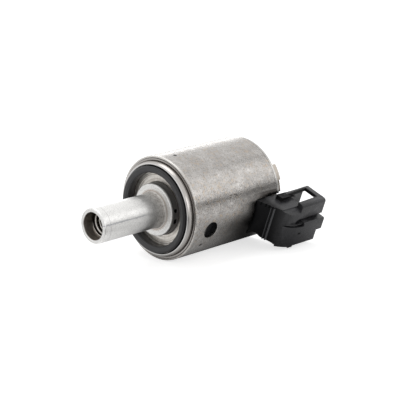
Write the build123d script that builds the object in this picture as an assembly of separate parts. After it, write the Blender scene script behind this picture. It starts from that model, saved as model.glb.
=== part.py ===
from build123d import *
import math
import os

# Transmission solenoid valve, in millimetres, +Z up, lying on its can as it does on a table.
# The valve's axis is Y and the nozzle points to -Y. The origin is on the axis, in the plane
# of the face seal's front face. Stations along the axis are y values, and the connector is
# laid out in its own r (outward), y and t (tangential) directions, turned about the axis.

# Can
can_radius = 15.0
can_wall = 0.55
can_front = 2.57
can_rear = 36.6
crimp_width = 1.15
crimp_thick = 0.7
crimp_round = 0.5
tab_angles = (17.0, 36.0)
tab_height = 1.6
tab_sink = 0.3
low_tab_start = -2.0
low_tab_height = 1.0
slot_front = 25.9
slot_low = -5.9
slot_high = 5.85
slot_corner = 1.8
port_radius = 2.5
port_y = 9.0
port_angle = -18.6
port_sink = 1.1
stake_count = 3
stake_angle = 82.6
stake_depth = 0.22
stake_ball = 0.9

# Front face
seal_inset = 1.95
seal_width = 1.9
seal_depth = 3.0
seal_chamfer = 0.4
seal_undercut = 0.25
rim_seal_gap = 0.12
rim_can_gap = 0.07
rim_crest = 0.85
rim_crest_width = 1.05
rim_groove_width = 0.14
rim_groove_floor = 2.82
rim_groove_top = 2.6
rim_step = 2.47
rim_step_round = 0.1
plate_thick = 3.2

# Nozzle and hub
nozzle_length = 22.1
nozzle_radius = 5.0
nozzle_tip_round = 0.6
nozzle_bore = 3.85
bore_lead = 0.3
feed_radius = 1.9
flange_front = 0.35
flange_radius = 7.45
flange_thick = 0.6
flange_round = 0.22
neck_fillet = 0.8
spigot_length = 2.3
spigot_radius = 3.9
hub_radius = 7.55
hub_chamber = 3.3
bleed_radius = 0.55
bleed_angle = 6.7
bleed_slot_angle = -17.8
bleed_slot_width = 1.6
bleed_slot_height = 1.0
bleed_y = 1.9

# Seat, screen and insert
insert_front = 3.2
insert_length = 4.0
insert_pitch = 0.8
insert_ridge = 0.42
ridge_stations = (0.2, 0.45, 0.75)
insert_bore = 2.75
insert_throat = 2.1
screen_thick = 0.3
screen_hole = 0.28
screen_rows = (6, 12)
screen_row_radius = (0.95, 1.95)
seat_thick = 1.3
seat_orifice = 0.9
seat_cone = 0.25

# Moving core
stroke = 0.6
rest_gap = 0.03
ball_radius = 1.2
rod_radius = 1.0
armature_front = 10.4
armature_length = 11.0
armature_chamfer = 0.4
armature_vent = 0.9
vent_circle = 4.4
vent_count = 4
air_gap = 1.2
guide_end = 10.0
guide_recess = 1.6
guide_recess_end = 7.5
spring_cup_radius = 2.25
spring_cup_thick = 0.6
spring_wire = 0.22
spring_turns = 5.0
spring_pitch_radius = 1.75

# Magnet circuit
sleeve_inner = 7.05
sleeve_wall = 0.45
core_bore = 2.6
core_rear = 35.9
core_boss = 5.0
bush_front_y = 23.0
bush_length = 2.4
adjuster_front = 30.6
adjuster_slot = 0.7
adjuster_sink = 0.3
flux_front = 31.2
flux_thick = 2.7
cover_thick = 1.2
cover_dish = 0.5

# Coil
bobbin_wall = 0.8
bobbin_flange = 1.0
bobbin_front = 7.0
bobbin_rear = 30.0
jacket_clearance = 0.32
jacket_thick = 1.6
bobbin_seal_width = 1.5
washer_inner = 8.4
washer_inset = 1.5
washer_thick = 0.4
lead_radius = 0.3
lead_length = 3.0

# Connector, in its r, y, t directions. Reaches are r distances from the can's surface, unless the
# line where they are used counts them from another face.
conn_turn = 20.0
conn_top = 6.9
conn_bottom = -6.9
conn_reach = 8.1
conn_standoff = 0.5
conn_mouth = 46.95
conn_corner = 0.9
neck_front = 27.3
neck_slope = 0.52
front_reach = 6.6
bend_end = 34.2
rib_reaches = (3.3, 4.0)
rib_width = 0.3
rib_height = 0.45
notch_reaches = (0.3, 1.6, 2.5)
notch_depths = (1.0, 1.1, 0.5)
notch_width = 0.6
notch_height = 1.0
platform_top = 5.6
platform_end = 36.7
platform_ridge = 2.1
platform_drop = 0.35
platform_edge = 0.9
underside_reaches = (1.2, 2.4, 4.0, 5.6, 7.5)
underside_levels = (-4.5, -5.2, -5.4, -5.6, -6.2)
inner_bar = 1.4
outer_bar = 2.0
bar_start = 35.0
bar_depth = 1.0
end_bar = 1.75
socket_depth = 9.5
socket_low = -5.7
platform_wall = 1.0
shelf_end = 38.6
inner_wall_end = 44.3
lower_end = 44.8
lower_step = -2.4
side_pad = 1.3
pad_top = 1.35
pad_low = -6.4
pad_bevel = 0.7
pad_top_bevel = 0.3
pad_end = 38.5
groove_width = 0.8
groove_sink = 1.0
groove_front = 36.5
pocket_front = 31.0
pocket_narrow = 35.2
pocket_end = 38.2
pocket_low = 0.3
pocket_middle = 1.3
pocket_tip = 0.75
pocket_run = 2.0
pocket_floor = 0.4
ledge_low = 0.85
ledge_high = 1.1
ledge_reach = 0.7
latch_block_front = 33.3
latch_block_end = 36.7
latch_ramp_end = 40.5
latch_block_low = -0.2
latch_block_high = 2.0
latch_block_rise = 1.25
latch_block_lean = 0.15
foot_front = 35.4
foot_length = 2.8
foot_lean = 0.5
foot_width = 1.0
foot_inset = 0.2
blade_width = 2.4
blade_thick = 0.6
blade_reach = 3.5
blade_pitch = 5.2
blade_end = 42.6
blade_foot_y = 30.5
overlap = 0.1

# Clearances
fixed_gap = 0.03
running_gap = 0.035
armature_gap = 0.06
neck_gap = 0.12
same = 1e-4

# Stations that follow from the sizes above
can_inner = can_radius - can_wall
seal_outer = can_inner - seal_inset
seal_inner = seal_outer - seal_width
rim_inner = seal_outer + rim_seal_gap
rim_foot = can_inner - rim_can_gap
jacket_outer = can_inner - jacket_clearance
coil_outer = jacket_outer - jacket_thick
washer_outer = jacket_outer - washer_inset
flux_radius = can_inner - fixed_gap
conn_inner = can_radius + conn_standoff
conn_outer = can_radius + conn_reach
groove_floor = conn_outer - groove_sink
blade_r = conn_inner + blade_reach
plate_front = seal_depth
plate_rear = plate_front + plate_thick
hub_front = flange_front + flange_thick
spigot_end = hub_front + spigot_length
seat_rear = spigot_end + seat_thick
ball_y = seat_rear - seat_cone + math.sqrt(ball_radius ** 2 - seat_orifice ** 2) + rest_gap
rod_front = ball_y + ball_radius
armature_rear = armature_front + armature_length
core_front = armature_rear + air_gap
sleeve_outer = sleeve_inner + sleeve_wall
bush_rear = bush_front_y + bush_length
rod_rear = bush_rear + stroke
cover_front = flux_front + flux_thick
cover_rear = cover_front + cover_thick
bobbin_inner = sleeve_outer + fixed_gap
bobbin_tube = bobbin_inner + bobbin_wall
table_z = -can_radius

# The connector's frame: its X is the outward direction r, and its Z is the direction t
conn_place = Rotation(0, conn_turn, 0)


def turned(*points):
    """Solid of revolution about the Y axis from (radius, y) points."""
    return revolve(make_face(Polyline(*points, close=True)), Axis.Y)


def tube(inner, outer, low, high):
    """Plain ring about the Y axis between two stations."""
    return turned((inner, low), (outer, low), (outer, high), (inner, high))


def rod(radius, low, high):
    """Plain round bar on the Y axis between two stations."""
    return turned((0, low), (radius, low), (radius, high), (0, high))


def radial_hole(radius, y, angle, low, high):
    """Round bar square to the axis at a station and an angle above the +X direction."""
    bar = Cylinder(radius, high - low, align=(Align.CENTER, Align.CENTER, Align.MIN))
    return Rot(0, -angle, 0) * Pos(low, y, 0) * Rot(0, 90, 0) * bar


def block(r_span, y_span, t_span):
    """Rectangular block in the connector's directions, before the turn."""
    size = [span[1] - span[0] for span in (r_span, y_span, t_span)]
    middle = [(span[0] + span[1]) / 2 for span in (r_span, y_span, t_span)]
    return Pos(*middle) * Box(*size)


def axial_holes(radius, circle, count, low, high):
    """Ring of round bars along Y, for vents and perforations."""
    bar = Pos(circle, 0, 0) * rod(radius, low, high)
    return Part() + [Rot(0, turn * 360.0 / count, 0) * bar for turn in range(count)]


def slot_prism(gap):
    """Round-cornered block that fills the can's slot but for a gap all round."""
    length = can_rear + tab_height - slot_front + slot_corner
    sketch = RectangleRounded(length - 2 * gap, slot_high - slot_low - 2 * gap, slot_corner - gap)
    plane = Plane(origin=(0, 0, 0), x_dir=(0, 1, 0), z_dir=(1, 0, 0))
    centred = plane * Pos(slot_front + length / 2, (slot_high + slot_low) / 2) * sketch
    return extrude(centred, can_radius + can_wall)


def can_tab(first, last, height):
    """Upright piece of the can's wall behind the crimp, between two angles."""
    face = make_face(Polyline(
        (can_inner, can_rear - tab_sink),
        (can_radius - crimp_round, can_rear - tab_sink),
        (can_radius - crimp_round, can_rear + height),
        (can_inner - crimp_round, can_rear + height),
        (can_inner - crimp_round, can_rear - tab_sink),
        close=True,
    ))
    return Rot(0, -first, 0) * revolve(face, Axis.Y, first - last)


def make_can():
    """Drawn steel can: rounded front edge, crimped rear with two tabs, slot, port and stakes."""
    front = Line((can_inner, plate_rear), (can_inner, can_front))
    outside = Line((can_radius, can_front + can_wall), (can_radius, can_rear - crimp_round))
    rear = Polyline(
        (can_radius - crimp_round, can_rear),
        (can_inner - crimp_width, can_rear),
        (can_inner - crimp_width, can_rear - crimp_thick),
        (can_inner, can_rear - crimp_thick),
        (can_inner, plate_rear),
    )
    front_round = RadiusArc(front @ 1, outside @ 0, -can_wall)
    rear_round = RadiusArc(outside @ 1, rear @ 0, -crimp_round)
    can = revolve(make_face(front + front_round + outside + rear_round + rear), Axis.Y)
    can += can_tab(*tab_angles, tab_height)
    can += can_tab(low_tab_start, tab_angles[0], low_tab_height)
    can -= conn_place * slot_prism(0)
    can -= radial_hole(port_radius, port_y, port_angle, can_inner - can_wall, can_radius + can_wall)
    for turn in range(stake_count):
        dent = Pos(can_radius + stake_ball - stake_depth, plate_rear + stake_ball, 0) * Sphere(stake_ball)
        can -= Rot(0, -stake_angle - turn * 360.0 / stake_count, 0) * dent
    return can


def make_front_plate():
    """Steel pole disc behind the seal, held from behind by the can's stakes."""
    return tube(hub_radius + fixed_gap, can_inner - fixed_gap, plate_front, plate_rear)


def make_rim_ring():
    """Bright ring round the seal: a rounded crest, a fine groove and a step beside the can's edge."""
    groove_inner = rim_inner + rim_crest_width
    groove_outer = groove_inner + rim_groove_width
    crest_height = rim_groove_top - rim_crest
    crest = EllipticalCenterArc(
        (rim_inner, rim_groove_top), rim_crest_width, crest_height, start_angle=-90, arc_size=90)
    step = Polyline(
        (groove_inner, rim_groove_top),
        (groove_inner, rim_groove_floor),
        (groove_outer, rim_groove_floor),
        (groove_outer, rim_step + rim_step_round),
        (groove_outer + rim_step_round, rim_step),
        (rim_foot, rim_step),
        (rim_foot, plate_front),
        (rim_inner, plate_front),
        (rim_inner, rim_crest),
    )
    return revolve(make_face(crest + step), Axis.Y)


def make_face_seal():
    """Flat-faced black seal ring with a chamfered outer edge and an undercut at its inner foot."""
    return turned(
        (seal_inner, 0),
        (seal_outer - seal_chamfer, 0),
        (seal_outer, seal_chamfer),
        (seal_outer, plate_front),
        (seal_inner + seal_undercut, plate_front),
        (seal_inner + seal_undercut, plate_front - seal_undercut),
        (seal_inner, plate_front - 2 * seal_undercut),
    )


def ring_edges(body, radius, y):
    """Circular edges of a turned body with a given radius and station."""
    rings = body.edges().filter_by(GeomType.CIRCLE)
    return rings.filter_by(lambda edge: abs(edge.radius - radius) < same and abs(edge.center().Y - y) < same)


def make_nozzle():
    """Aluminium feed tube with a round-edged tip, a thin flange and a spigot for the hub."""
    tip = -nozzle_length
    bore_end = tip + insert_front + insert_length + screen_thick
    body = turned(
        (nozzle_bore + bore_lead, tip),
        (nozzle_radius, tip),
        (nozzle_radius, flange_front),
        (flange_radius, flange_front),
        (flange_radius, hub_front),
        (spigot_radius, hub_front),
        (spigot_radius, spigot_end),
        (feed_radius, spigot_end),
        (feed_radius, bore_end + nozzle_bore - feed_radius),
        (nozzle_bore, bore_end),
        (nozzle_bore, tip + bore_lead),
    )
    body = fillet(ring_edges(body, nozzle_radius, tip), nozzle_tip_round)
    body = fillet(ring_edges(body, nozzle_radius, flange_front), neck_fillet)
    return fillet(ring_edges(body, flange_radius, flange_front), flange_round)


def make_seat_insert():
    """Stepped insert in the nozzle's bore whose ridges repeat like a coarse thread."""
    front = -nozzle_length + insert_front
    rear = front + insert_length
    outer = nozzle_bore - fixed_gap
    ridge_bore = outer - insert_ridge
    valley = insert_ridge / 2
    points = [(outer, front), (outer, rear), (insert_throat, rear), (insert_throat, rear - insert_pitch)]
    ridges = int((insert_length - insert_pitch) / insert_pitch)
    for ridge in reversed(range(ridges)):
        low = ridge_bore + (insert_bore - ridge_bore) * ridge / ridges
        start = front + ridge * insert_pitch
        points.append((low - valley, start + insert_pitch * ridge_stations[2]))
        points.append((low - valley, start + insert_pitch * ridge_stations[1]))
        points.append((low, start + insert_pitch * ridge_stations[0]))
    points.append((ridge_bore, front))
    return turned(*points)


def make_inlet_screen():
    """Perforated disc behind the insert that keeps dirt from the orifice."""
    front = -nozzle_length + insert_front + insert_length
    screen = rod(nozzle_bore - fixed_gap, front, front + screen_thick)
    holes = rod(screen_hole, front - screen_thick, front + 2 * screen_thick)
    for count, circle in zip(screen_rows, screen_row_radius):
        holes += axial_holes(screen_hole, circle, count, front - screen_thick, front + 2 * screen_thick)
    return screen - holes


def make_hub():
    """Dark round hub between flange and disc, with its bleed hole and bleed slot."""
    hub = turned(
        (spigot_radius + fixed_gap, hub_front),
        (hub_radius, hub_front),
        (hub_radius, plate_rear),
        (hub_chamber, plate_rear),
        (hub_chamber, spigot_end),
        (spigot_radius + fixed_gap, spigot_end),
    )
    depth = spigot_radius + fixed_gap
    hub -= radial_hole(bleed_radius, bleed_y, bleed_angle, depth + bleed_radius, hub_radius + bleed_radius)
    slot = block((depth + bleed_radius, hub_radius + bleed_radius),
                 (bleed_y - bleed_slot_height / 2, bleed_y + bleed_slot_height / 2),
                 (-bleed_slot_width / 2, bleed_slot_width / 2))
    return hub - Rot(0, -bleed_slot_angle, 0) * slot


def make_valve_seat():
    """Hardened seat disc with a coned orifice, pressed into the hub's chamber."""
    return turned(
        (seat_orifice, spigot_end),
        (hub_chamber - fixed_gap, spigot_end),
        (hub_chamber - fixed_gap, seat_rear),
        (seat_orifice + seat_cone, seat_rear),
        (seat_orifice, seat_rear - seat_cone),
    )


def vent_holes(low, high):
    """Oil holes right through a piece of the moving core."""
    return axial_holes(armature_vent, vent_circle, vent_count, low - stroke, high + stroke)


def make_front_guide():
    """Bronze guide for the rod, vented so that the oil passes as the armature moves."""
    guide = turned(
        (guide_recess, plate_rear),
        (sleeve_inner - fixed_gap, plate_rear),
        (sleeve_inner - fixed_gap, guide_end),
        (rod_radius + running_gap, guide_end),
        (rod_radius + running_gap, guide_recess_end),
        (guide_recess, guide_recess_end),
    )
    return guide - vent_holes(plate_rear, guide_end)


def make_push_rod():
    """Rod from the ball to the spring, with the flat end that the ball sits against."""
    return rod(rod_radius, rod_front, rod_rear)


def make_armature():
    """Soft-iron plunger, pressed on the rod and drilled through for the oil."""
    outer = sleeve_inner - armature_gap
    plunger = turned(
        (rod_radius, armature_front),
        (outer - armature_chamfer, armature_front),
        (outer, armature_front + armature_chamfer),
        (outer, armature_rear - armature_chamfer),
        (outer - armature_chamfer, armature_rear),
        (rod_radius, armature_rear),
    )
    return plunger - vent_holes(armature_front, armature_rear)


def make_spring_cup():
    """Small flanged cup on the rod's end that carries the spring."""
    return turned(
        (0, rod_rear),
        (spring_cup_radius, rod_rear),
        (spring_cup_radius, rod_rear + spring_cup_thick),
        (rod_radius, rod_rear + spring_cup_thick),
        (rod_radius, rod_rear + 2 * spring_cup_thick),
        (0, rod_rear + 2 * spring_cup_thick),
    )


def make_return_spring():
    """Round-wire spring between the rod's cup and the adjusting screw."""
    low = rod_rear + spring_cup_thick + spring_wire + fixed_gap
    high = adjuster_front - spring_wire - fixed_gap
    path = Helix((high - low) / spring_turns, high - low, spring_pitch_radius)
    start = path @ 0
    section = Plane(origin=start, z_dir=path % 0) * Circle(spring_wire)
    coil = sweep(section, path, is_frenet=True)
    return Pos(0, low, 0) * Rot(-90, 0, 0) * coil


def make_core():
    """Fixed core with its rod bush, spring pocket and the boss that shows through the cover."""
    outer = sleeve_inner - fixed_gap
    return turned(
        (rod_radius + stroke, core_front),
        (outer, core_front),
        (outer, cover_front),
        (core_boss, cover_front),
        (core_boss, core_rear),
        (core_bore, core_rear),
        (core_bore, bush_front_y),
        (rod_radius + stroke, bush_front_y),
    )


def make_rear_bush():
    """Bush in the core that guides the rod's rear end."""
    return tube(rod_radius + running_gap, core_bore - fixed_gap, bush_front_y, bush_rear)


def make_adjuster():
    """Slotted screw that sets the spring's load."""
    screw = rod(core_bore - fixed_gap, adjuster_front, core_rear - adjuster_sink)
    slot = Pos(0, core_rear, 0) * Box(2 * core_bore, 3 * adjuster_slot, adjuster_slot)
    return screw - slot


def make_sleeve():
    """Thin non-magnetic tube that holds guide and core in line and keeps the oil in."""
    return tube(sleeve_inner, sleeve_outer, plate_rear, cover_front)


def blade_t(side):
    """Place of a terminal across the socket."""
    return side * blade_pitch / 2


def lead_bars(radius, low, high):
    """Two bars along Y at the places where the winding's ends leave the coil."""
    reach = coil_outer + fixed_gap + 1.5 * lead_radius
    return Part() + [Pos(reach, 0, blade_t(side)) * rod(radius, low, high) for side in (-1, 1)]


def make_bobbin():
    """Moulded spool for the winding, open at its rear flange for the two leads."""
    spool = turned(
        (bobbin_inner, bobbin_front),
        (jacket_outer, bobbin_front),
        (jacket_outer, bobbin_front + bobbin_flange),
        (bobbin_tube, bobbin_front + bobbin_flange),
        (bobbin_tube, bobbin_rear - bobbin_flange),
        (jacket_outer, bobbin_rear - bobbin_flange),
        (jacket_outer, bobbin_rear),
        (bobbin_inner, bobbin_rear),
    )
    holes = lead_bars(lead_radius + fixed_gap, bobbin_rear - 2 * bobbin_flange, bobbin_rear + bobbin_flange)
    return spool - conn_place * holes


def make_coil():
    """Copper winding between the spool's flanges, as one ring."""
    return tube(bobbin_tube, coil_outer, bobbin_front + bobbin_flange, bobbin_rear - bobbin_flange)


def make_coil_jacket():
    """Moulded cover over the winding, sunk where the can's side port looks in."""
    low = bobbin_front + bobbin_flange
    jacket = tube(coil_outer + fixed_gap, jacket_outer, low, bobbin_rear - bobbin_flange)
    jacket -= radial_hole(port_radius, port_y, port_angle, jacket_outer - port_sink, can_radius)
    lead_low = blade_foot_y - lead_length - fixed_gap
    return jacket - conn_place * lead_bars(lead_radius + fixed_gap, lead_low, blade_foot_y)


def make_coil_leads():
    """The two wire ends that run from the winding to the terminals."""
    return conn_place * lead_bars(lead_radius, blade_foot_y - lead_length, blade_foot_y)


def make_bobbin_seal():
    """Square rubber ring between the pole disc and the spool."""
    return tube(sleeve_outer + fixed_gap, sleeve_outer + bobbin_seal_width, plate_rear, bobbin_front)


def make_spring_washer():
    """Coned spring washer that takes up the play between spool and flux plate."""
    return turned(
        (washer_inner, bobbin_rear),
        (washer_inner + washer_thick, bobbin_rear),
        (washer_outer, flux_front - washer_thick),
        (washer_outer, flux_front),
        (washer_outer - washer_thick, flux_front),
        (washer_inner, bobbin_rear + washer_thick),
    )


def make_flux_plate():
    """Thick steel ring that closes the magnet circuit at the rear."""
    return tube(sleeve_outer + fixed_gap, flux_radius, flux_front, cover_front)


def make_rear_cover():
    """Dished steel cover under the crimp, with the hole for the core's boss."""
    crimp_front = can_rear - crimp_thick
    return turned(
        (core_boss + fixed_gap, cover_front),
        (flux_radius, cover_front),
        (flux_radius, crimp_front),
        (can_inner - crimp_width - cover_dish, crimp_front),
        (can_inner - crimp_width - 2 * cover_dish, cover_rear - cover_dish),
        (core_boss + fixed_gap, cover_rear - cover_dish),
    )


def make_terminal(side):
    """Bent blade: a foot that runs outward from its lead, then the blade in the socket."""
    t = blade_t(side)
    span = (t - blade_width / 2, t + blade_width / 2)
    foot = block((coil_outer + fixed_gap + lead_radius, blade_r + blade_thick / 2),
                 (blade_foot_y, blade_foot_y + blade_thick), span)
    blade = block((blade_r - blade_thick / 2, blade_r + blade_thick / 2), (blade_foot_y, blade_end), span)
    terminal = foot + blade
    tip = terminal.edges().group_by(Axis.Y)[-1]
    return conn_place * chamfer(tip, blade_thick / 3)


def front_y(r):
    """Station of the connector's sloping front face at a distance r."""
    return neck_front + neck_slope * (r - can_radius)


def front_outline():
    """Front face with its two ribs, then the bend that runs out into the outer side."""
    root = can_inner - can_wall
    points = [(root, front_y(root))]
    for rib in rib_reaches:
        r = can_radius + rib
        points.append((r - rib_width / 2, front_y(r - rib_width / 2)))
        points.append((r - rib_width / 2, front_y(r) - rib_height))
        points.append((r + rib_width / 2, front_y(r) - rib_height))
        points.append((r + rib_width / 2, front_y(r + rib_width / 2)))
    corner = can_radius + front_reach
    points.append((corner, front_y(corner)))
    bend = TangentArc((conn_outer, bend_end), points[-1], tangent=(0, -1))
    return root, points, bend


def connector_plan():
    """Outline of the connector seen along t: sloping ribbed front and round outer corner."""
    root, points, bend = front_outline()
    back = can_rear + tab_height + neck_gap
    rest = Polyline((conn_outer, bend_end), (conn_outer, conn_mouth), (conn_inner, conn_mouth),
                    (conn_inner, back), (root, back), points[0])
    return make_face(Polyline(*points) + bend + rest)


def connector_sections():
    """Cross-sections of the platform end and the socket end, seen along the axis."""
    low = can_inner - can_wall
    ridge = conn_outer - platform_ridge
    edge_top = platform_top - platform_drop
    underside = [(can_radius + reach, level) for reach, level in zip(underside_reaches, underside_levels)]
    front = make_face(Polyline(
        (low, platform_top),
        (ridge, platform_top),
        (ridge + platform_drop / 2, edge_top),
        (conn_outer - platform_edge, edge_top - platform_drop / 2),
        (conn_outer, edge_top - platform_edge),
        (conn_outer, underside_levels[-1] + platform_edge),
        *reversed(underside),
        (low, underside_levels[0]),
        close=True,
    ))
    rear = Pos((conn_inner + conn_outer) / 2, (conn_top + conn_bottom) / 2) * RectangleRounded(
        conn_outer - conn_inner, conn_top - conn_bottom, conn_corner)
    return front, rear


def along_y(face, low, high):
    """Carries a cross-section drawn in r and t along the axis between two stations."""
    plane = Plane(origin=(0, low, 0), x_dir=(1, 0, 0), z_dir=(0, 1, 0))
    flipped = mirror(face, Plane.XZ)
    return extrude(plane * flipped, high - low)


def across_r(face, low, high):
    """Carries a face drawn in y and t along r between two distances."""
    plane = Plane(origin=(low, 0, 0), x_dir=(0, 1, 0), z_dir=(1, 0, 0))
    return extrude(plane * face, high - low)


def make_side_pad():
    """Raised lower half of the connector's outer side, which runs out into the front face."""
    reach = conn_outer + side_pad
    inner = conn_outer - side_pad
    corner = can_radius + front_reach
    bend = TangentArc((reach, pad_end), (corner, front_y(corner)), tangent=(0, -1))
    rest = Polyline((reach, pad_end), (reach, conn_mouth), (inner, conn_mouth), (inner, pad_end),
                    (corner, front_y(corner)))
    pad = Pos(0, 0, pad_low) * extrude(make_face(bend + rest), pad_top - pad_low)
    taper = make_face(Polyline(
        (inner - side_pad, pad_low),
        (inner - side_pad, pad_top),
        (reach - pad_top_bevel, pad_top),
        (reach, pad_top - pad_top_bevel),
        (reach, pad_low + pad_bevel),
        (reach - pad_bevel, pad_low),
        close=True,
    ))
    return pad & along_y(taper, neck_front, conn_mouth)


def make_platform_notches():
    """Small V-shaped cuts in the front edge of the platform."""
    cuts = []
    for reach, depth in zip(notch_reaches, notch_depths):
        r = can_radius + reach
        vee = make_face(Polyline(
            (r - notch_width / 2, front_y(r) - depth),
            (r + notch_width / 2, front_y(r) - depth),
            (r, front_y(r) + depth),
            close=True,
        ))
        cuts.append(Pos(0, 0, platform_top - notch_height) * extrude(vee, 2 * notch_height))
    return cuts


def make_latch_block():
    """Upright block on the platform with a ramp behind it that carries on over the shelf's end."""
    shelf_low = platform_top - platform_wall
    ramp = make_face(Polyline(
        (latch_block_front, shelf_low),
        (latch_block_front, platform_top),
        (latch_block_front + latch_block_lean, platform_top + latch_block_rise),
        (latch_block_end, platform_top + latch_block_rise),
        (latch_ramp_end, platform_top),
        (latch_ramp_end, shelf_low),
        close=True,
    ))
    return across_r(ramp, conn_inner + latch_block_low, conn_inner + latch_block_high)


def make_side_pocket():
    """Wedge-shaped pocket at the front of the side groove, with a thin ledge along it."""
    reach = conn_outer + 2 * side_pad
    groove_top = pad_top + groove_width
    wedge = make_face(Polyline(
        (pocket_front, pocket_tip),
        (pocket_narrow, pocket_middle),
        (groove_front, groove_top),
        (pocket_end, groove_top),
        (pocket_end, pocket_low),
        (pocket_front + pocket_run, pocket_low),
        close=True,
    ))
    floor = groove_floor - pocket_floor
    ledge = block((floor - overlap, conn_outer + ledge_reach),
                  (pocket_front, pocket_end),
                  (ledge_low, ledge_high))
    return across_r(wedge, floor, reach) - ledge


def make_connector():
    """Moulded connector: neck through the can's slot, platform, latch frame and open socket."""
    front_section, rear_section = connector_sections()
    plan = Pos(0, 0, 2 * conn_bottom) * extrude(connector_plan(), 4 * conn_top)
    front_end = plan & along_y(front_section, slot_front, platform_end)
    rear_end = plan & along_y(rear_section, platform_end, conn_mouth)
    tab_clear = can_rear + tab_height + neck_gap
    outside = front_end + rear_end - rod(can_radius + neck_gap, slot_front, tab_clear)
    plug = plan & slot_prism(neck_gap) & rod(can_radius, slot_front, can_rear)
    neck = front_end & slot_prism(neck_gap)
    neck = neck + plug - rod(can_inner - fixed_gap, slot_front - can_wall, tab_clear)
    housing = outside + neck
    inner_face = conn_inner + inner_bar
    outer_face = conn_outer - outer_bar
    housing += block((conn_inner, inner_face), (bar_start, platform_end), (platform_top - overlap, conn_top))
    housing += make_side_pad()
    socket_front = conn_mouth - socket_depth
    past_mouth = conn_mouth + overlap
    past_side = conn_outer + 2 * side_pad
    shelf_low = platform_top - platform_wall
    frame_low = conn_top - bar_depth
    above = conn_top + overlap
    below = 2 * conn_bottom
    frame_rear = conn_mouth - end_bar
    housing -= block((inner_face, outer_face), (socket_front, past_mouth), (socket_low, shelf_low))
    housing -= block((inner_face, outer_face), (platform_end, frame_rear), (platform_top, above))
    housing -= block((inner_face, outer_face), (shelf_end, past_mouth), (shelf_low - overlap, frame_low))
    housing -= block((inner_face, outer_face), (shelf_end, frame_rear), (shelf_low, above))
    housing -= block((can_inner, inner_face), (inner_wall_end, past_mouth), (below, frame_low))
    housing -= block((can_inner, past_side), (lower_end, past_mouth), (below, lower_step))
    housing += make_latch_block()
    housing -= block((groove_floor, past_side), (groove_front, past_mouth), (pad_top, pad_top + groove_width))
    housing -= make_side_pocket()
    for notch in make_platform_notches():
        housing -= notch
    foot_outer = conn_outer - foot_inset
    turn = math.radians(conn_turn)
    foot_low = (table_z + foot_outer * math.sin(turn)) / math.cos(turn)
    foot = make_face(Polyline(
        (foot_front, pad_low + overlap),
        (foot_front + foot_lean, foot_low),
        (foot_front + foot_length - foot_lean, foot_low),
        (foot_front + foot_length, pad_low + overlap),
        close=True,
    ))
    housing += across_r(foot, foot_outer - foot_width, foot_outer)
    for side in (-1, 1):
        housing -= conn_place.inverse() * make_terminal(side)
    return conn_place * housing


def export_parts():
    """Writes every piece to its own file."""
    pieces = {
        "can": make_can(),
        "front_plate": make_front_plate(),
        "rim_ring": make_rim_ring(),
        "face_seal": make_face_seal(),
        "nozzle": make_nozzle(),
        "seat_insert": make_seat_insert(),
        "inlet_screen": make_inlet_screen(),
        "hub": make_hub(),
        "valve_seat": make_valve_seat(),
        "poppet_ball": Pos(0, ball_y, 0) * Sphere(ball_radius),
        "front_guide": make_front_guide(),
        "push_rod": make_push_rod(),
        "armature": make_armature(),
        "spring_cup": make_spring_cup(),
        "return_spring": make_return_spring(),
        "fixed_core": make_core(),
        "rear_bush": make_rear_bush(),
        "adjusting_screw": make_adjuster(),
        "sleeve": make_sleeve(),
        "bobbin": make_bobbin(),
        "coil_winding": make_coil(),
        "coil_jacket": make_coil_jacket(),
        "coil_leads": make_coil_leads(),
        "bobbin_seal": make_bobbin_seal(),
        "spring_washer": make_spring_washer(),
        "flux_plate": make_flux_plate(),
        "rear_cover": make_rear_cover(),
        "terminal_upper": make_terminal(1),
        "terminal_lower": make_terminal(-1),
        "connector": make_connector(),
    }
    os.makedirs("parts", exist_ok=True)
    for name, piece in pieces.items():
        export_step(piece, f"parts/{name}.step")


export_parts()
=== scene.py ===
"""Looks of a transmission solenoid valve, laid out as an add-on and run as a script.

The valve's axis is Y, its nozzle points to -Y and +Z is up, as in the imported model. Shapes are worked out in
millimetres and turned into metres by grid_object. Stations along the axis and outer radii come from the
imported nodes, and the other sizes from the properties of ValveSizes.
"""

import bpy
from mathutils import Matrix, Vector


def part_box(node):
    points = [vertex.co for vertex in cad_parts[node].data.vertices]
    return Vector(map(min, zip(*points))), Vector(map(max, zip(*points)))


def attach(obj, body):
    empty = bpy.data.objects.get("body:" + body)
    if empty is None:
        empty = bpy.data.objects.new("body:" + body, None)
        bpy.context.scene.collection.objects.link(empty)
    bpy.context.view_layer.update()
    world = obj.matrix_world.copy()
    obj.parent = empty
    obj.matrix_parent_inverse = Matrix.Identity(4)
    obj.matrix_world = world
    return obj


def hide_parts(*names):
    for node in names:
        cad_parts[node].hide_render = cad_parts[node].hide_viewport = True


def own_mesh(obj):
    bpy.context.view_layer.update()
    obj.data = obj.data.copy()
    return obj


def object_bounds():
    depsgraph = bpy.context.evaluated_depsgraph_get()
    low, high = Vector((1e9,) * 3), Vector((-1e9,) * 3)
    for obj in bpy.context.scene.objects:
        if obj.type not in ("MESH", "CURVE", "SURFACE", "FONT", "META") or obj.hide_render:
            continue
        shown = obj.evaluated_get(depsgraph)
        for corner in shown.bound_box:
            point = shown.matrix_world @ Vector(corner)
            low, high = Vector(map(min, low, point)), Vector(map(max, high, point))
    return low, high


bl_info = {
    "name": "Transmission solenoid valve",
    "version": (1, 0, 0),
    "blender": (4, 5, 0),
    "location": "View3D > Sidebar > Valve",
    "description": "Builds the visible pieces, the finishes and the studio of a solenoid valve",
    "category": "Object",
}

import math

import bmesh
import bpy
import numpy as np
from mathutils import Vector

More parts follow.
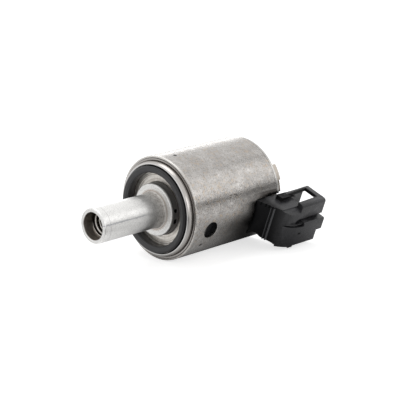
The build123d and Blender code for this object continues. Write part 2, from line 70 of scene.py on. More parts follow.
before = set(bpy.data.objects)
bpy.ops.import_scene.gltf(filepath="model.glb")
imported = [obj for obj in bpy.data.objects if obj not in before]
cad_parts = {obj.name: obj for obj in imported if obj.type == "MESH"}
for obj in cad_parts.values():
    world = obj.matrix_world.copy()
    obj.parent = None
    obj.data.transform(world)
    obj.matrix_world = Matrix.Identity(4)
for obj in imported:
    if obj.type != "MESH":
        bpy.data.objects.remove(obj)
CAD_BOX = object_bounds()

MM = 0.001

# Outlines: points round a turn and a fillet, the fillet where none is given, and the support point beside it
TURN_STEPS = 256
ARC_STEPS = 6
SMALL_ROUND = 0.05
SUPPORT = 0.04
# Angles between faces: edges kept sharp after a cut, the plug's rounded edges, and faces merged as flat
SHARP_ANGLE = math.radians(32)
MOULDED_ANGLE = math.radians(28)
FLAT_ANGLE = math.radians(1)

# Directions of the plug, and the share by which its latch frame leans inwards over a stretch of y
PLUG_TURN = math.radians(20.0)
PLUG_OUT = (math.cos(PLUG_TURN), 0.0, -math.sin(PLUG_TURN))
PLUG_UP = (math.sin(PLUG_TURN), 0.0, math.cos(PLUG_TURN))
FRAME_LEAN = 0.1
LEAN_SPAN = (37.2, 39.0)

# Angles about the axis, from +X towards +Z
PORT_TURN = math.radians(-18.6)
STAKE_TURNS = tuple(math.radians(82.6) + turn * 2 * math.pi / 3 for turn in range(3))
BLEED_HOLE_TURN = math.radians(6.7)
BLEED_SLOT_TURN = math.radians(-17.8)
TAB_TURNS = (math.radians(17.0), math.radians(36.0))
LOW_TAB_TURNS = (math.radians(-2.0), math.radians(18.0))
CREST_START = math.radians(-28.0)
TUBE_REFLECTION_TURN = math.radians(11.5)
UPPER_TURNS = (math.radians(35), math.radians(75))
FAR_TURNS = (math.radians(100), math.radians(130))

# The stake marks' distance behind the front plate and the gap between spigot and hub, in millimetres
STAKE_BEHIND = 0.9
HUB_GAP = 0.03

# Where marks and painted shade begin and end, in millimetres along y unless the name says otherwise
FRONT_EDGE = (3.0, 3.5)
SEAM_RADII = (14.5, 14.62)
ROLLED_LINE = 35.5
ROLLED_RADII = (14.6, 14.8)
REAR_LIP = (35.6, 35.75)
TABS = (36.5, 36.7)
PLUG_SHADOW_MIDDLE = (13.5, 31.0, -8.0)
PLUG_SHADOW_REACH = (8.0, 17.5)
TUBE_BASE = (-6.0, -1.0)
TUBE_REFLECTION_END = (-7.5, -5.5)
TIP_LINE = -19.9
BASE_RADIUS = 5.3
FOOT_RADII = (4.98, 5.25, 5.45, 5.55)
FOOT_RINGS = {5.55: 0.85, 5.85: 0.4}
NECK_FACE = (29.6, 31.4)
LATCH_END = (45.0, 45.8)
RIBS_OUT = (18.3, 19.1)
DIMPLE_Y, DIMPLE_UP = 37.15, -1.95

# Colours of marks and wear, and of painted shade, painted shadow, painted highlights and a painted reflection,
# laid over the base colours
WORN_STREAK = (0.42, 0.41, 0.39)
CAN_GRAIN = (0.24, 0.22, 0.2)
CAN_PLUG_SHADOW = (0.07, 0.066, 0.062)
EDGE_HIGHLIGHT = (0.78, 0.76, 0.73)
SEAM_SHADE = (0.09, 0.08, 0.07)
PLUG_SHADE = (0.08, 0.073, 0.068)
ROLLED_GREY = (0.25, 0.24, 0.23)
LIP_GREY = (0.7, 0.69, 0.67)
TAB_TAN = (0.36, 0.3, 0.24)
STAKE_SHADE = (0.03, 0.028, 0.026)
TUBE_SMUDGE_AND_SHADE = (0.36, 0.34, 0.32)
TUBE_FOOT_SHADE = (0.5, 0.47, 0.44)
TUBE_GRAIN = (0.5, 0.49, 0.47)
TUBE_MOTTLE = (0.2, 0.185, 0.17)
TUBE_REFLECTION = (0.42, 0.43, 0.46)
TAN_RING = (0.32, 0.22, 0.14)
TIP_GREY = (0.4, 0.39, 0.38)
BORE_BROWN = (0.34, 0.305, 0.27)
THREAD_CREST = (0.88, 0.85, 0.81)
THREAD_SPECKS = (0.6, 0.56, 0.51)
THREAD_ROOT_SHADE = (0.02, 0.017, 0.014)
RIM_MARKS = (0.42, 0.39, 0.36)
RIM_SLOPE_SHADE = (0.32, 0.29, 0.265)
RIM_SHADE = (0.09, 0.075, 0.065)
HOLE_SHADE = (0.004, 0.004, 0.004)
PLUG_FACE_SHADE = (0.004, 0.004, 0.0045)
RIB_HIGHLIGHT = (0.13, 0.13, 0.137)
DIMPLE_SHADE = (0.002, 0.002, 0.002)
SEAL_SHADE = (0.008, 0.008, 0.009)

# Stage, in metres. Each lamp has a place, a size and the setting of its power.
LAMP_TARGET = (0.0, 0.015, 0.0)
LAMPS = {
    "top_lamp": ((-0.2, 0.05, 0.8), (0.6, 0.6), "key_power"),
    "back_lamp": ((0.48, 0.58, 0.36), (0.6, 0.42), "back_power"),
    "side_lamp": ((0.85, -0.1, 0.25), (0.4, 0.4), "side_power"),
    "left_lamp": ((-0.6, 0.6, 0.14), (0.5, 0.22), "left_power"),
}
FLOOR_HALF = 1.5
FLOOR_GREY = (0.8, 0.8, 0.8, 1.0)
FLOOR_LIFT = 0.7
SHADE_REACH = 45 * MM
SHADE_POWER = 0.85
# Round patches of painted shade and painted light on the floor as reflections see it, under, in front of and
# beside the valve: middle, inner and outer radius, and strength inside and outside
FLOOR_LIGHT_AND_SHADE_PATCHES = (
    ((0.013, 0.034), 0.006, 0.021, 0.3, 1.0),
    ((0.0, -0.014), 0.01, 0.03, 1.5, 1.0),
    ((0.055, -0.04), 0.015, 0.055, 0.15, 0.85),
)
FLAG_BLACK = (0.02, 0.02, 0.022, 1.0)
# Side of the picture in pixels, and width of the sensor in millimetres
PICTURE = 400
SENSOR = 36.0


# Shapes from numpy arrays

def mesh_points(mesh):
    """The points of a mesh, one row each."""
    points = np.empty(len(mesh.vertices) * 3)
    mesh.vertices.foreach_get("co", points)
    return points.reshape(-1, 3)


def ring(node):
    """(inner radius, outer radius, front y, rear y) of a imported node, in millimetres."""
    points = mesh_points(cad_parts[node].data) / MM
    radius = np.hypot(points[:, 0], points[:, 2])
    return radius.min(), radius.max(), points[:, 1].min(), points[:, 1].max()


def unit(vectors):
    """Each row divided by its length."""
    return vectors / np.linalg.norm(vectors, axis=-1, keepdims=True)


def outline(corners, steps=ARC_STEPS):
    """Closed outline with rounded corners, from (radius, y) or (radius, y, fillet) corners.

    Each fillet is an arc that touches both sides of its corner. Its centre lies on the bisector, at the
    fillet divided by the sine of the half angle, and its points are weighted sums of the two end spokes. One
    more point stands just outside each end of the arc, so that flat sides stay flat in smooth shading.
    """
    points = np.array([corner[:2] for corner in corners], float)
    fillet = np.array([corner[2] if len(corner) > 2 else SMALL_ROUND for corner in corners])
    back = np.roll(points, 1, axis=0) - points
    ahead = np.roll(points, -1, axis=0) - points
    room = 0.4 * np.minimum(np.linalg.norm(back, axis=1), np.linalg.norm(ahead, axis=1))
    back, ahead = unit(back), unit(ahead)
    half = np.arccos(np.clip((back * ahead).sum(axis=1), -1, 1)) / 2
    reach = np.minimum(fillet / np.tan(half), room)
    fillet = reach * np.tan(half)
    centre = points + unit(back + ahead) * (fillet / np.sin(half))[:, None]
    spokes = [points + side * reach[:, None] - centre for side in (back, ahead)]
    sweep = (math.pi - 2 * half)[:, None, None]
    share = np.linspace(0, 1, steps)[None, :, None]
    weights = np.sin((1 - share) * sweep), np.sin(share * sweep)
    arc = weights[0] * spokes[0][:, None] + weights[1] * spokes[1][:, None]
    arc = centre[:, None] + arc / np.sin(sweep)
    stand = np.minimum(reach + SUPPORT, 1.2 * room)[:, None]
    before = (points + back * stand)[:, None]
    after = (points + ahead * stand)[:, None]
    return np.concatenate([before, arc, after], axis=1).reshape(-1, 2)


def rounded_box(width, height, corner, steps=8):
    """Outline of a rectangle about zero whose corners are quarter circles, in order round it."""
    turn = np.linspace(0, math.pi / 2, steps)[None, :] + math.pi / 2 * np.arange(4)[:, None]
    sign = np.array([[1, 1], [-1, 1], [-1, -1], [1, -1]])
    middle = sign * (np.array([width, height]) / 2 - corner)
    arc = corner * np.stack([np.cos(turn), np.sin(turn)], axis=-1)
    return (middle[:, None] + arc).reshape(-1, 2)


def about_axis(radius, y, angle):
    """Points (r cos a, y, r sin a) for a radius r, a place y along the axis and an angle a about it."""
    return np.stack(np.broadcast_arrays(radius * np.cos(angle), y, radius * np.sin(angle)), axis=-1)


def spin(profile):
    """Surface of revolution about Y: each point (r, y) of a profile at every angle about the axis."""
    angle = np.linspace(0, 2 * math.pi, TURN_STEPS, endpoint=False)[:, None]
    return about_axis(profile[:, 0], profile[:, 1], angle)


def grid_faces(rows, columns, close_rows):
    """Four-sided faces of a grid of points whose columns are joined end to end, and its rows if closed."""
    row = np.arange(rows if close_rows else rows - 1)[:, None]
    column = np.arange(columns)[None, :]
    after = (row + 1) % rows
    beside = (column + 1) % columns
    pairs = (row, column), (row, beside), (after, beside), (after, column)
    return np.stack([line * columns + place for line, place in pairs], axis=-1).reshape(-1, 4)


def signed_volume(points, faces):
    """Six times the volume inside the faces, as a sum of corner triple products about the points' middle. It
    is negative where they are turned inwards."""
    middle = points.mean(axis=0)
    a, b, c, d = (points[faces[:, i]] - middle for i in range(4))
    return (np.cross(a, b) * c).sum() + (np.cross(a, c) * d).sum()


def place_object(name, data):
    """Puts a new object with the given data into the scene."""
    made = bpy.data.objects.new(name, data)
    bpy.context.scene.collection.objects.link(made)
    return made


def grid_object(name, grid, close_rows=True):
    """Smooth mesh at the origin from a grid of points in millimetres whose columns are closed. An open grid
    gets a flat cap at each end, and all faces are turned outwards."""
    rows, columns = grid.shape[:2]
    points = grid.reshape(-1, 3)
    faces = grid_faces(rows, columns, close_rows)
    way = 1 if signed_volume(points, faces) > 0 else -1
    made = faces[:, ::way].tolist()
    if not close_rows:
        first = np.arange(columns)
        caps = [first[::-1], first + (rows - 1) * columns]
        made += [cap[::way].tolist() for cap in caps]
    mesh = bpy.data.meshes.new(name)
    mesh.from_pydata((points * MM).tolist(), [], made)
    mesh.update()
    mesh.shade_smooth()
    return place_object(name, mesh)


def radial_cutter(name, angle, reach, across, along):
    """Cutter that runs outwards at an angle about the axis: closed sections of points across and along the
    axis, one at each reach."""
    x = reach * math.cos(angle) - across * math.sin(angle)
    z = reach * math.sin(angle) + across * math.cos(angle)
    return grid_object(name, np.stack(np.broadcast_arrays(x, along, z), axis=-1), close_rows=False)


def round_cutter(name, radius, y, angle, flare, low, high):
    """Round cutter: a circle carried outwards, which widens by flare at the wall's face."""
    turn = np.linspace(0, 2 * math.pi, 48, endpoint=False)
    reach = np.array([low, high - 2 * flare, high, high + 2 * flare])[:, None]
    widths = radius + np.array([0, 0, 2 * flare, 4 * flare])[:, None]
    return radial_cutter(name, angle, reach, widths * np.cos(turn), y + widths * np.sin(turn))


def combine(piece, others, operation):
    """Joins other closed objects to a piece, or cuts them out of it, and removes them."""
    for other in others:
        step = piece.modifiers.new("combine", "BOOLEAN")
        step.operation = operation
        step.solver = "EXACT"
        step.object = other
    bpy.context.view_layer.update()
    graph = bpy.context.evaluated_depsgraph_get()
    mesh = bpy.data.meshes.new_from_object(piece.evaluated_get(graph))
    piece.modifiers.clear()
    piece.data = mesh
    for other in others:
        bpy.data.objects.remove(other)
    mesh.shade_smooth()
    mesh.set_sharp_from_angle(angle=SHARP_ANGLE)


def dress(piece, body, slot, finish, *nodes):
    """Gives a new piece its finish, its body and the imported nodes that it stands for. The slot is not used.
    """
    piece.data.materials.clear()
    piece.data.materials.append(finish)
    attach(piece, body)
    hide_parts(*nodes)


# Shader nodes

def feed(tree, socket, value):
    """Links another socket to an input, or sets the input to a value."""
    if isinstance(value, bpy.types.NodeSocket):
        tree.links.new(value, socket)
    else:
        socket.default_value = value


def add(tree, kind, inputs=(), **settings):
    """Adds a shader node, sets its properties, and feeds the inputs given by name or number."""
    made = tree.nodes.new(kind)
    for key, value in settings.items():
        setattr(made, key, value)
    for key, value in dict(inputs).items():
        feed(tree, made.inputs[key], value)
    return made


def maths(tree, operation, first, second=0.0):
    """One arithmetic step."""
    return add(tree, "ShaderNodeMath", {0: first, 1: second}, operation=operation).outputs[0]


def remap(tree, value, low, high, from_low, from_high):
    """Value carried from one span to another, and held at its ends."""
    return add(tree, "ShaderNodeMapRange", {
        "Value": value, "From Min": from_low, "From Max": from_high, "To Min": low, "To Max": high}).outputs[0]


def distance(tree, place, point):
    """Distance of a place from a point, in metres."""
    return add(tree, "ShaderNodeVectorMath", {0: place, 1: point}, operation="DISTANCE").outputs["Value"]


def shader_group(name, inputs, outputs):
    """Empty group with a Vector input, float inputs with their defaults and float outputs. Gives the tree,
    the sockets that bring the inputs and the end node."""
    tree = bpy.data.node_groups.new(name, "ShaderNodeTree")
    tree.interface.new_socket("Vector", in_out="INPUT", socket_type="NodeSocketVector")
    for socket, default in inputs.items():
        tree.interface.new_socket(socket, in_out="INPUT", socket_type="NodeSocketFloat").default_value = default
    for socket in outputs:
        tree.interface.new_socket(socket, in_out="OUTPUT", socket_type="NodeSocketFloat")
    return tree, tree.nodes.new("NodeGroupInput").outputs, tree.nodes.new("NodeGroupOutput")


def link_outputs(tree, end, **sockets):
    """Links sockets to a group's outputs, and gives the tree."""
    for name, socket in sockets.items():
        tree.links.new(socket, end.inputs[name])
    return tree


def make_speckle_group():
    """Patches or specks of a size in millimetres: noise cut between two levels, from 0 to 1."""
    tree, start, end = shader_group("Speckle", {"Size": 1.0, "Low": 0.5, "High": 0.6}, ["Mask"])
    scale = maths(tree, "DIVIDE", 1.0 / MM, start["Size"])
    noise = add(tree, "ShaderNodeTexNoise", {
        "Vector": start["Vector"], "Scale": scale, "Detail": 3.0, "Roughness": 0.55})
    mask = remap(tree, noise.outputs["Fac"], 0.0, 1.0, start["Low"], start["High"])
    return link_outputs(tree, end, Mask=mask)


def make_lines_group():
    """Machining lines with a pitch in millimetres: one-dimensional noise along a coordinate that wanders."""
    tree, start, end = shader_group("Fine lines", {"Along": 0.0, "Pitch": 0.2}, ["Height"])
    wander = add(tree, "ShaderNodeTexNoise", {"Vector": start["Vector"], "Scale": 90.0, "Detail": 1.0})
    shift = maths(tree, "MULTIPLY", wander.outputs["Fac"], 0.35 * MM)
    pitch = maths(tree, "MULTIPLY", start["Pitch"], MM)
    place = maths(tree, "DIVIDE", maths(tree, "ADD", start["Along"], shift), pitch)
    noise = add(tree, "ShaderNodeTexNoise", {"W": place, "Scale": 1.0, "Detail": 3.0}, noise_dimensions="1D")
    return link_outputs(tree, end, Height=noise.outputs["Fac"])


def make_streaks_group():
    """Drawn-metal streaks of a width in millimetres: noise stretched far along Y."""
    tree, start, end = shader_group("Drawn streaks", {"Size": 0.3}, ["Height"])
    stretched = add(tree, "ShaderNodeMapping", {"Vector": start["Vector"], "Scale": (1.0, 0.06, 1.0)})
    scale = maths(tree, "DIVIDE", 1.0 / MM, start["Size"])
    noise = add(tree, "ShaderNodeTexNoise", {"Vector": stretched.outputs[0], "Scale": scale, "Detail": 4.0})
    return link_outputs(tree, end, Height=noise.outputs["Fac"])


def make_round_group():
    """The radius from the valve's axis, the place along it and the turn about it, in metres and radians."""
    tree, start, end = shader_group("Round place", {}, ["Radius", "Along", "Turn"])
    x, along, z = add(tree, "ShaderNodeSeparateXYZ", {0: start["Vector"]}).outputs
    flat = add(tree, "ShaderNodeCombineXYZ", {"X": x, "Z": z}).outputs[0]
    radius = add(tree, "ShaderNodeVectorMath", {0: flat}, operation="LENGTH").outputs["Value"]
    return link_outputs(tree, end, Radius=radius, Along=along, Turn=maths(tree, "ARCTAN2", z, x))


def make_plug_group():
    """Distances in the plug's own directions, in metres: outwards from the axis, along it and up."""
    tree, start, end = shader_group("Plug place", {}, ["Out", "Along", "Up"])
    out, up = (add(tree, "ShaderNodeVectorMath", {0: start["Vector"], 1: way}, operation="DOT_PRODUCT")
               for way in (PLUG_OUT, PLUG_UP))
    along = add(tree, "ShaderNodeSeparateXYZ", {0: start["Vector"]}).outputs["Y"]
    return link_outputs(tree, end, Out=out.outputs["Value"], Along=along, Up=up.outputs["Value"])


GROUP_MAKERS = {
    "Speckle": make_speckle_group,
    "Fine lines": make_lines_group,
    "Drawn streaks": make_streaks_group,
    "Round place": make_round_group,
    "Plug place": make_plug_group,
}


class Finish:
    """One material under construction: its tree, its Principled shader and the helpers that feed it. Places
    and sizes are given in millimetres."""

    def __init__(self, name, colour, metallic, roughness):
        self.material = bpy.data.materials.new(name)
        self.material.use_nodes = True
        self.tree = self.material.node_tree
        self.shader = self.tree.nodes["Principled BSDF"]
        self.coordinates = self.tree.nodes.new("ShaderNodeTexCoord").outputs["Object"]
        self.colour = (*colour, 1.0)
        self.set("Base Color", self.colour)
        self.set("Metallic", metallic)
        self.set("Roughness", roughness)

    def set(self, name, value):
        """Feeds one input of the Principled shader."""
        feed(self.tree, self.shader.inputs[name], value)

    def group(self, name, **inputs):
        """The outputs of a shared shader group, fed with Object coordinates."""
        tree = bpy.data.node_groups.get(name) or GROUP_MAKERS[name]()
        made = add(self.tree, "ShaderNodeGroup", node_tree=tree)
        for key, value in {"Vector": self.coordinates, **inputs}.items():
            feed(self.tree, made.inputs[key], value)
        return made.outputs

    def speckle(self, size, low, high):
        """Mask of patches of about the given size, cut between two levels of noise."""
        return self.group("Speckle", Size=size, Low=low, High=high)[0]

    def lines(self, value, pitch):
        """Height of fine lines of a pitch along a value."""
        return self.group("Fine lines", Along=value, Pitch=pitch)[0]

    def maths(self, operation, first, second=0.0):
        """One arithmetic step."""
        return maths(self.tree, operation, first, second)

    def range(self, value, low, high, from_low=0.0, from_high=1.0):
        """Value carried from one span to another."""
        return remap(self.tree, value, low, high, from_low, from_high)

    def rise(self, value, low, high):
        """Mask that climbs from 0 to 1 between two places."""
        return self.range(value, 0.0, 1.0, low * MM, high * MM)

    def fall(self, value, low, high):
        """Mask that drops from 1 to 0 between two places."""
        return self.range(value, 1.0, 0.0, low * MM, high * MM)

    def line(self, value, middle, half, soft):
        """Mask of a line: 1 within half of the middle, falling to 0 over the soft width."""
        off = self.maths("ABSOLUTE", self.maths("SUBTRACT", value, middle * MM))
        return self.fall(off, half, half + soft)

    def away(self, point):
        """Distance from a point, as a value in metres."""
        return distance(self.tree, self.coordinates, [MM * part for part in point])

    def product(self, *masks):
        """Masks times each other."""
        made = masks[0]
        for mask in masks[1:]:
            made = self.maths("MULTIPLY", made, mask)
        return made

    def highest(self, *masks):
        """The greatest of some masks."""
        made = masks[0]
        for mask in masks[1:]:
            made = self.maths("MAXIMUM", made, mask)
        return made

    def lay(self, mask, colour, amount=1.0):
        """Lays a colour over the base colour by a mask times an amount."""
        share = self.maths("MULTIPLY", mask, amount)
        mix = add(self.tree, "ShaderNodeMix", {"Factor": share}, data_type="RGBA")
        below, above = (socket for socket in mix.inputs if socket.type == "RGBA")
        feed(self.tree, below, self.colour)
        feed(self.tree, above, (*colour, 1.0))
        self.colour = next(socket for socket in mix.outputs if socket.type == "RGBA")
        self.set("Base Color", self.colour)

    def bump(self, height, depth):
        """Lays one more layer of bump over those laid before."""
        made = add(self.tree, "ShaderNodeBump", {"Height": height, "Distance": depth * MM, "Strength": 1.0})
        below = self.shader.inputs["Normal"]
        if below.is_linked:
            self.tree.links.new(below.links[0].from_socket, made.inputs["Normal"])
        self.set("Normal", made.outputs[0])


def times(colour, factor, lift=0.0):
    """Colour times a factor, with a little added."""
    return tuple(factor * part + lift for part in colour)


# Finishes

def make_can_steel(colours, stakes):
    """Drawn steel: warm grey with worn patches, tan specks, lengthwise streaks and a dark grain. A painted
    shadow of the plug lies on the can near its neck, with painted shade beside the plug and in the stake marks.
    The front edge has a painted highlight above and painted shade in its seam, and the rear has a rolled line,
    a pale lip and tan tabs."""
    finish = Finish("can_steel_look", times(colours.can, 1.06), 1.0, 0.3)
    patches = finish.speckle(4.0, 0.38, 0.62)
    clouds = finish.speckle(1.4, 0.36, 0.66)
    grain = finish.speckle(0.4, 0.48, 0.7)
    streaks = finish.group("Drawn streaks", Size=0.35)[0]
    finish.lay(patches, times(colours.can, 0.82))
    finish.lay(clouds, times(colours.can, 0.7), 0.7)
    finish.lay(finish.product(finish.speckle(0.9, 0.5, 0.66), patches), colours.can_speck, 0.55)
    finish.lay(finish.range(streaks, 0.0, 1.0, 0.5, 0.7), WORN_STREAK, 0.4)
    finish.lay(grain, CAN_GRAIN, 0.7)
    # Painted shadow of the plug on the can, with a ragged edge
    ragged = finish.maths("MULTIPLY", finish.speckle(1.8, 0.3, 0.7), 1.6 * MM)
    plug_shadow = finish.fall(finish.maths("ADD", finish.away(PLUG_SHADOW_MIDDLE), ragged), *PLUG_SHADOW_REACH)
    finish.lay(plug_shadow, CAN_PLUG_SHADOW, 0.85)
    radius, along, turn = finish.group("Round place")
    edge = finish.fall(along, *FRONT_EDGE)
    # Painted highlight on the upper part of the front edge
    finish.lay(finish.product(edge, finish.range(turn, 0.25, 1.0, *UPPER_TURNS)), EDGE_HIGHLIGHT, 0.75)
    near_side = finish.range(turn, 1.0, 0.2, *FAR_TURNS)
    # Painted shade in the seam at the front edge, weaker on the far side
    finish.lay(finish.product(edge, near_side, finish.fall(radius, *SEAM_RADII)), SEAM_SHADE, 0.6)
    out, _, up = finish.group("Plug place")
    # Painted shade on the can beside the plug's neck
    beside = finish.product(
        finish.rise(out, 8.0, 9.0), finish.fall(up, 7.15, 7.4), finish.rise(up, 2.0, 5.0),
        finish.rise(along, 25.5, 30.0))
    finish.lay(beside, PLUG_SHADE, 0.9)
    rolled = finish.product(finish.line(along, ROLLED_LINE, 0.06, 0.12), finish.rise(radius, *ROLLED_RADII))
    finish.lay(rolled, ROLLED_GREY, 0.7)
    finish.lay(finish.rise(along, *REAR_LIP), LIP_GREY, 0.5)
    finish.lay(finish.rise(along, *TABS), TAB_TAN, 0.6)
    # Painted shade in the stake marks
    for stake in stakes:
        finish.lay(finish.fall(finish.away(stake), 0.42, 0.67), STAKE_SHADE, 0.9)
    finish.set("Roughness", finish.range(clouds, 0.16, 0.27))
    finish.bump(streaks, 0.012)
    finish.bump(grain, 0.014)
    return finish.material


def make_tube_metal(colours, bore):
    """Bright turned aluminium: fine rings and grain, smudges and mottling that thicken towards the flange,
    painted shade that deepens towards the flange and on the foot, tan rings on the foot, one faint painted
    reflection of a lengthwise line that wavers, and a brown bore."""
    finish = Finish("nozzle_aluminium_look", colours.tube, 1.0, 0.36)
    radius, along, turn = finish.group("Round place")
    smudge = finish.speckle(1.0, 0.42, 0.68)
    base = finish.rise(along, *TUBE_BASE)
    on_tube = finish.maths("LESS_THAN", radius, BASE_RADIUS * MM)
    # Smudges that grow towards the flange, part wear and part painted shade
    finish.lay(finish.product(smudge, finish.range(base, 0.06, 0.5), on_tube), TUBE_SMUDGE_AND_SHADE)
    # Painted shade on the foot where the tube flares into its flange
    foot = finish.product(finish.rise(radius, *FOOT_RADII[:2]), finish.fall(radius, *FOOT_RADII[2:]))
    finish.lay(foot, TUBE_FOOT_SHADE, 0.6)
    finish.lay(finish.speckle(0.28, 0.42, 0.66), TUBE_GRAIN, 0.5)
    # Even painted shade towards the flange
    finish.lay(finish.product(base, on_tube), TUBE_SMUDGE_AND_SHADE, 0.5)
    finish.lay(finish.product(finish.speckle(0.55, 0.5, 0.62), base, on_tube), TUBE_MOTTLE, 0.5)
    # Painted reflection of a lengthwise line, which wavers a little
    wavering = finish.maths("ADD", turn, finish.range(smudge, -0.02, 0.02))
    off_reflection = finish.maths("ABSOLUTE", finish.maths("SUBTRACT", wavering, TUBE_REFLECTION_TURN))
    reflected_line = finish.range(off_reflection, 1.0, 0.0, 0.015, 0.05)
    finish.lay(finish.product(reflected_line, on_tube, finish.fall(along, *TUBE_REFLECTION_END)), TUBE_REFLECTION, 0.6)
    for middle, amount in FOOT_RINGS.items():
        finish.lay(finish.line(radius, middle, 0.04, 0.1), TAN_RING, amount)
    finish.lay(finish.line(along, TIP_LINE, 0.04, 0.1), TIP_GREY, 0.5)
    finish.lay(finish.fall(radius, bore + 0.02, bore + 0.12), BORE_BROWN, 0.85)
    finish.set("Roughness", finish.highest(finish.range(smudge, 0.3, 0.46), finish.range(base, 0.3, 0.52)))
    finish.bump(finish.lines(along, 0.12), 0.004)
    return finish.material


def make_insert_steel(front, pitch):
    """Threaded steel: bright crests, and painted black shade in the roots. The crests lie where the sine of the
    distance from the front end, as turns of the thread, less the turn about the axis is high."""
    finish = Finish("insert_steel_look", THREAD_CREST, 1.0, 0.24)
    _, along, turn = finish.group("Round place")
    turned = finish.maths("MULTIPLY", finish.maths("SUBTRACT", along, front * MM), 2 * math.pi / (pitch * MM))
    wave = finish.maths("SINE", finish.maths("SUBTRACT", turned, turn))
    specks = finish.speckle(0.5, 0.5, 0.75)
    finish.lay(specks, THREAD_SPECKS, 0.5)
    # Painted shade in the thread's roots
    finish.lay(finish.range(wave, 1.0, 0.0, 0.0, 0.5), THREAD_ROOT_SHADE)
    finish.set("Roughness", finish.range(specks, 0.2, 0.34))
    finish.bump(specks, 0.006)
    return finish.material


def make_turned_steel(name, colour, groove, pitch, depth):
    """Faced steel with concentric marks about the axis, and darker oil in some of them."""
    finish = Finish(name, colour, 1.0, 0.34)
    marks = finish.lines(finish.group("Round place")["Radius"], pitch)
    finish.lay(finish.range(marks, 0.0, 1.0, 0.52, 0.7), groove, 0.85)
    finish.lay(finish.speckle(1.6, 0.45, 0.7), groove, 0.42)
    finish.set("Roughness", finish.range(marks, 0.28, 0.46))
    finish.bump(marks, depth)
    return finish.material


def make_rim_steel(colours, inner, groove, outer):
    """Polished ring: turned lines, painted shade on the outer slope, and on the near side painted shade beside
    the seal, in the groove and along the can's edge."""
    finish = Finish("rim_steel_look", colours.rim, 1.0, 0.24)
    radius, _, turn = finish.group("Round place")
    marks = finish.lines(radius, 0.3)
    finish.lay(finish.range(marks, 0.0, 1.0, 0.5, 0.72), RIM_MARKS, 0.6)
    # Painted shade on the outer slope
    finish.lay(finish.rise(radius, inner + 0.45, inner + 0.75), RIM_SLOPE_SHADE, 0.6)
    # Painted shade beside the seal, in the groove and along the can's edge, mostly on the near side
    beside_seal = finish.fall(radius, inner + 0.1, inner + 0.35)
    in_groove = finish.line(radius, groove + 0.06, 0.04, 0.12)
    edge = finish.range(radius, 0.0, 0.7, (outer - 0.14) * MM, (outer - 0.06) * MM)
    near_side = finish.range(turn, 1.0, 0.25, *FAR_TURNS)
    finish.lay(finish.product(finish.highest(beside_seal, in_groove, edge), near_side), RIM_SHADE, 0.85)
    finish.set("Roughness", finish.range(marks, 0.18, 0.3))
    finish.bump(marks, 0.005)
    return finish.material


def make_hub_steel(colours, outer):
    """Blackened steel with a faint grain, and painted shade under its outer skin, seen in the bleed hole and
    slot.
    """
    finish = Finish("hub_dark_look", colours.hub, 0.0, 0.4)
    radius = finish.group("Round place")["Radius"]
    rubbed = finish.speckle(1.6, 0.42, 0.75)
    finish.lay(rubbed, times(colours.hub, 0.7), 0.7)
    # Painted shade on all below the outer skin, in the bleed hole and the bleed slot
    finish.lay(finish.fall(radius, outer - 0.16, outer - 0.08), HOLE_SHADE, 0.95)
    finish.set("Roughness", finish.range(rubbed, 0.32, 0.46))
    finish.bump(finish.speckle(0.3, 0.3, 0.8), 0.006)
    return finish.material


def make_plug_plastic(colours):
    """Moulded black plastic: rubbed patches and a fine grain, painted shade on the neck's face and round the
    latch block, a dark spot painted as the shade of the dimple, which is not cut, and painted highlights along
    the crests of the two ribs."""
    finish = Finish("connector_plastic_look", colours.plug, 0.0, 0.36)
    out, along, up = finish.group("Plug place")
    rubbed = finish.speckle(2.0, 0.42, 0.7)
    grain = finish.speckle(0.35, 0.45, 0.7)
    finish.lay(rubbed, times(colours.plug, 1.8, 0.004), 0.8)
    finish.lay(grain, times(colours.plug, 2.4), 0.7)
    # Painted shade on the neck's face and round the latch block, with a lower specular level
    neck = finish.fall(along, *NECK_FACE)
    latch = finish.product(
        finish.rise(up, 5.7, 5.8), finish.fall(out, 19.2, 19.6), finish.fall(along, *LATCH_END))
    black = finish.highest(neck, latch)
    finish.lay(black, PLUG_FACE_SHADE, 0.9)
    # Painted highlights along the crests of the ribs
    for middle in RIBS_OUT:
        crest = finish.product(finish.line(out, middle, 0.09, 0.08), neck, finish.fall(up, 5.0, 5.4))
        finish.lay(crest, RIB_HIGHLIGHT, 0.9)
    # A dark spot painted as the shade of the dimple, which is not cut
    dimple = finish.product(
        finish.line(along, DIMPLE_Y, 0.4, 0.25), finish.line(up, DIMPLE_UP, 0.22, 0.2),
        finish.rise(out, 22.6, 22.8))
    finish.lay(dimple, DIMPLE_SHADE, 0.95)
    finish.set("Specular IOR Level", finish.range(finish.highest(black, dimple), 0.5, 0.14))
    finish.set("Roughness", finish.highest(finish.range(rubbed, 0.3, 0.48), finish.range(latch, 0.3, 0.5)))
    finish.bump(grain, 0.02)
    return finish.material


def make_seal_rubber(colours, inner, line):
    """Black rubber, with painted shade on the moulded chamfer outside the fine line and on the inner wall."""
    finish = Finish("seal_rubber_look", colours.rubber, 0.0, 0.42)
    radius = finish.group("Round place")["Radius"]
    rubbed = finish.speckle(2.4, 0.42, 0.75)
    finish.lay(rubbed, times(colours.rubber, 1.35), 0.7)
    # Painted shade on the outer chamfer and on the inner wall
    chamfer = finish.rise(radius, line, line + 0.12)
    inner_wall = finish.fall(radius, inner + 0.06, inner + 0.2)
    finish.lay(finish.highest(chamfer, inner_wall), SEAL_SHADE, 0.9)
    finish.set("Roughness", finish.range(rubbed, 0.38, 0.5))
    finish.bump(finish.speckle(0.18, 0.3, 0.8), 0.006)
    return finish.material


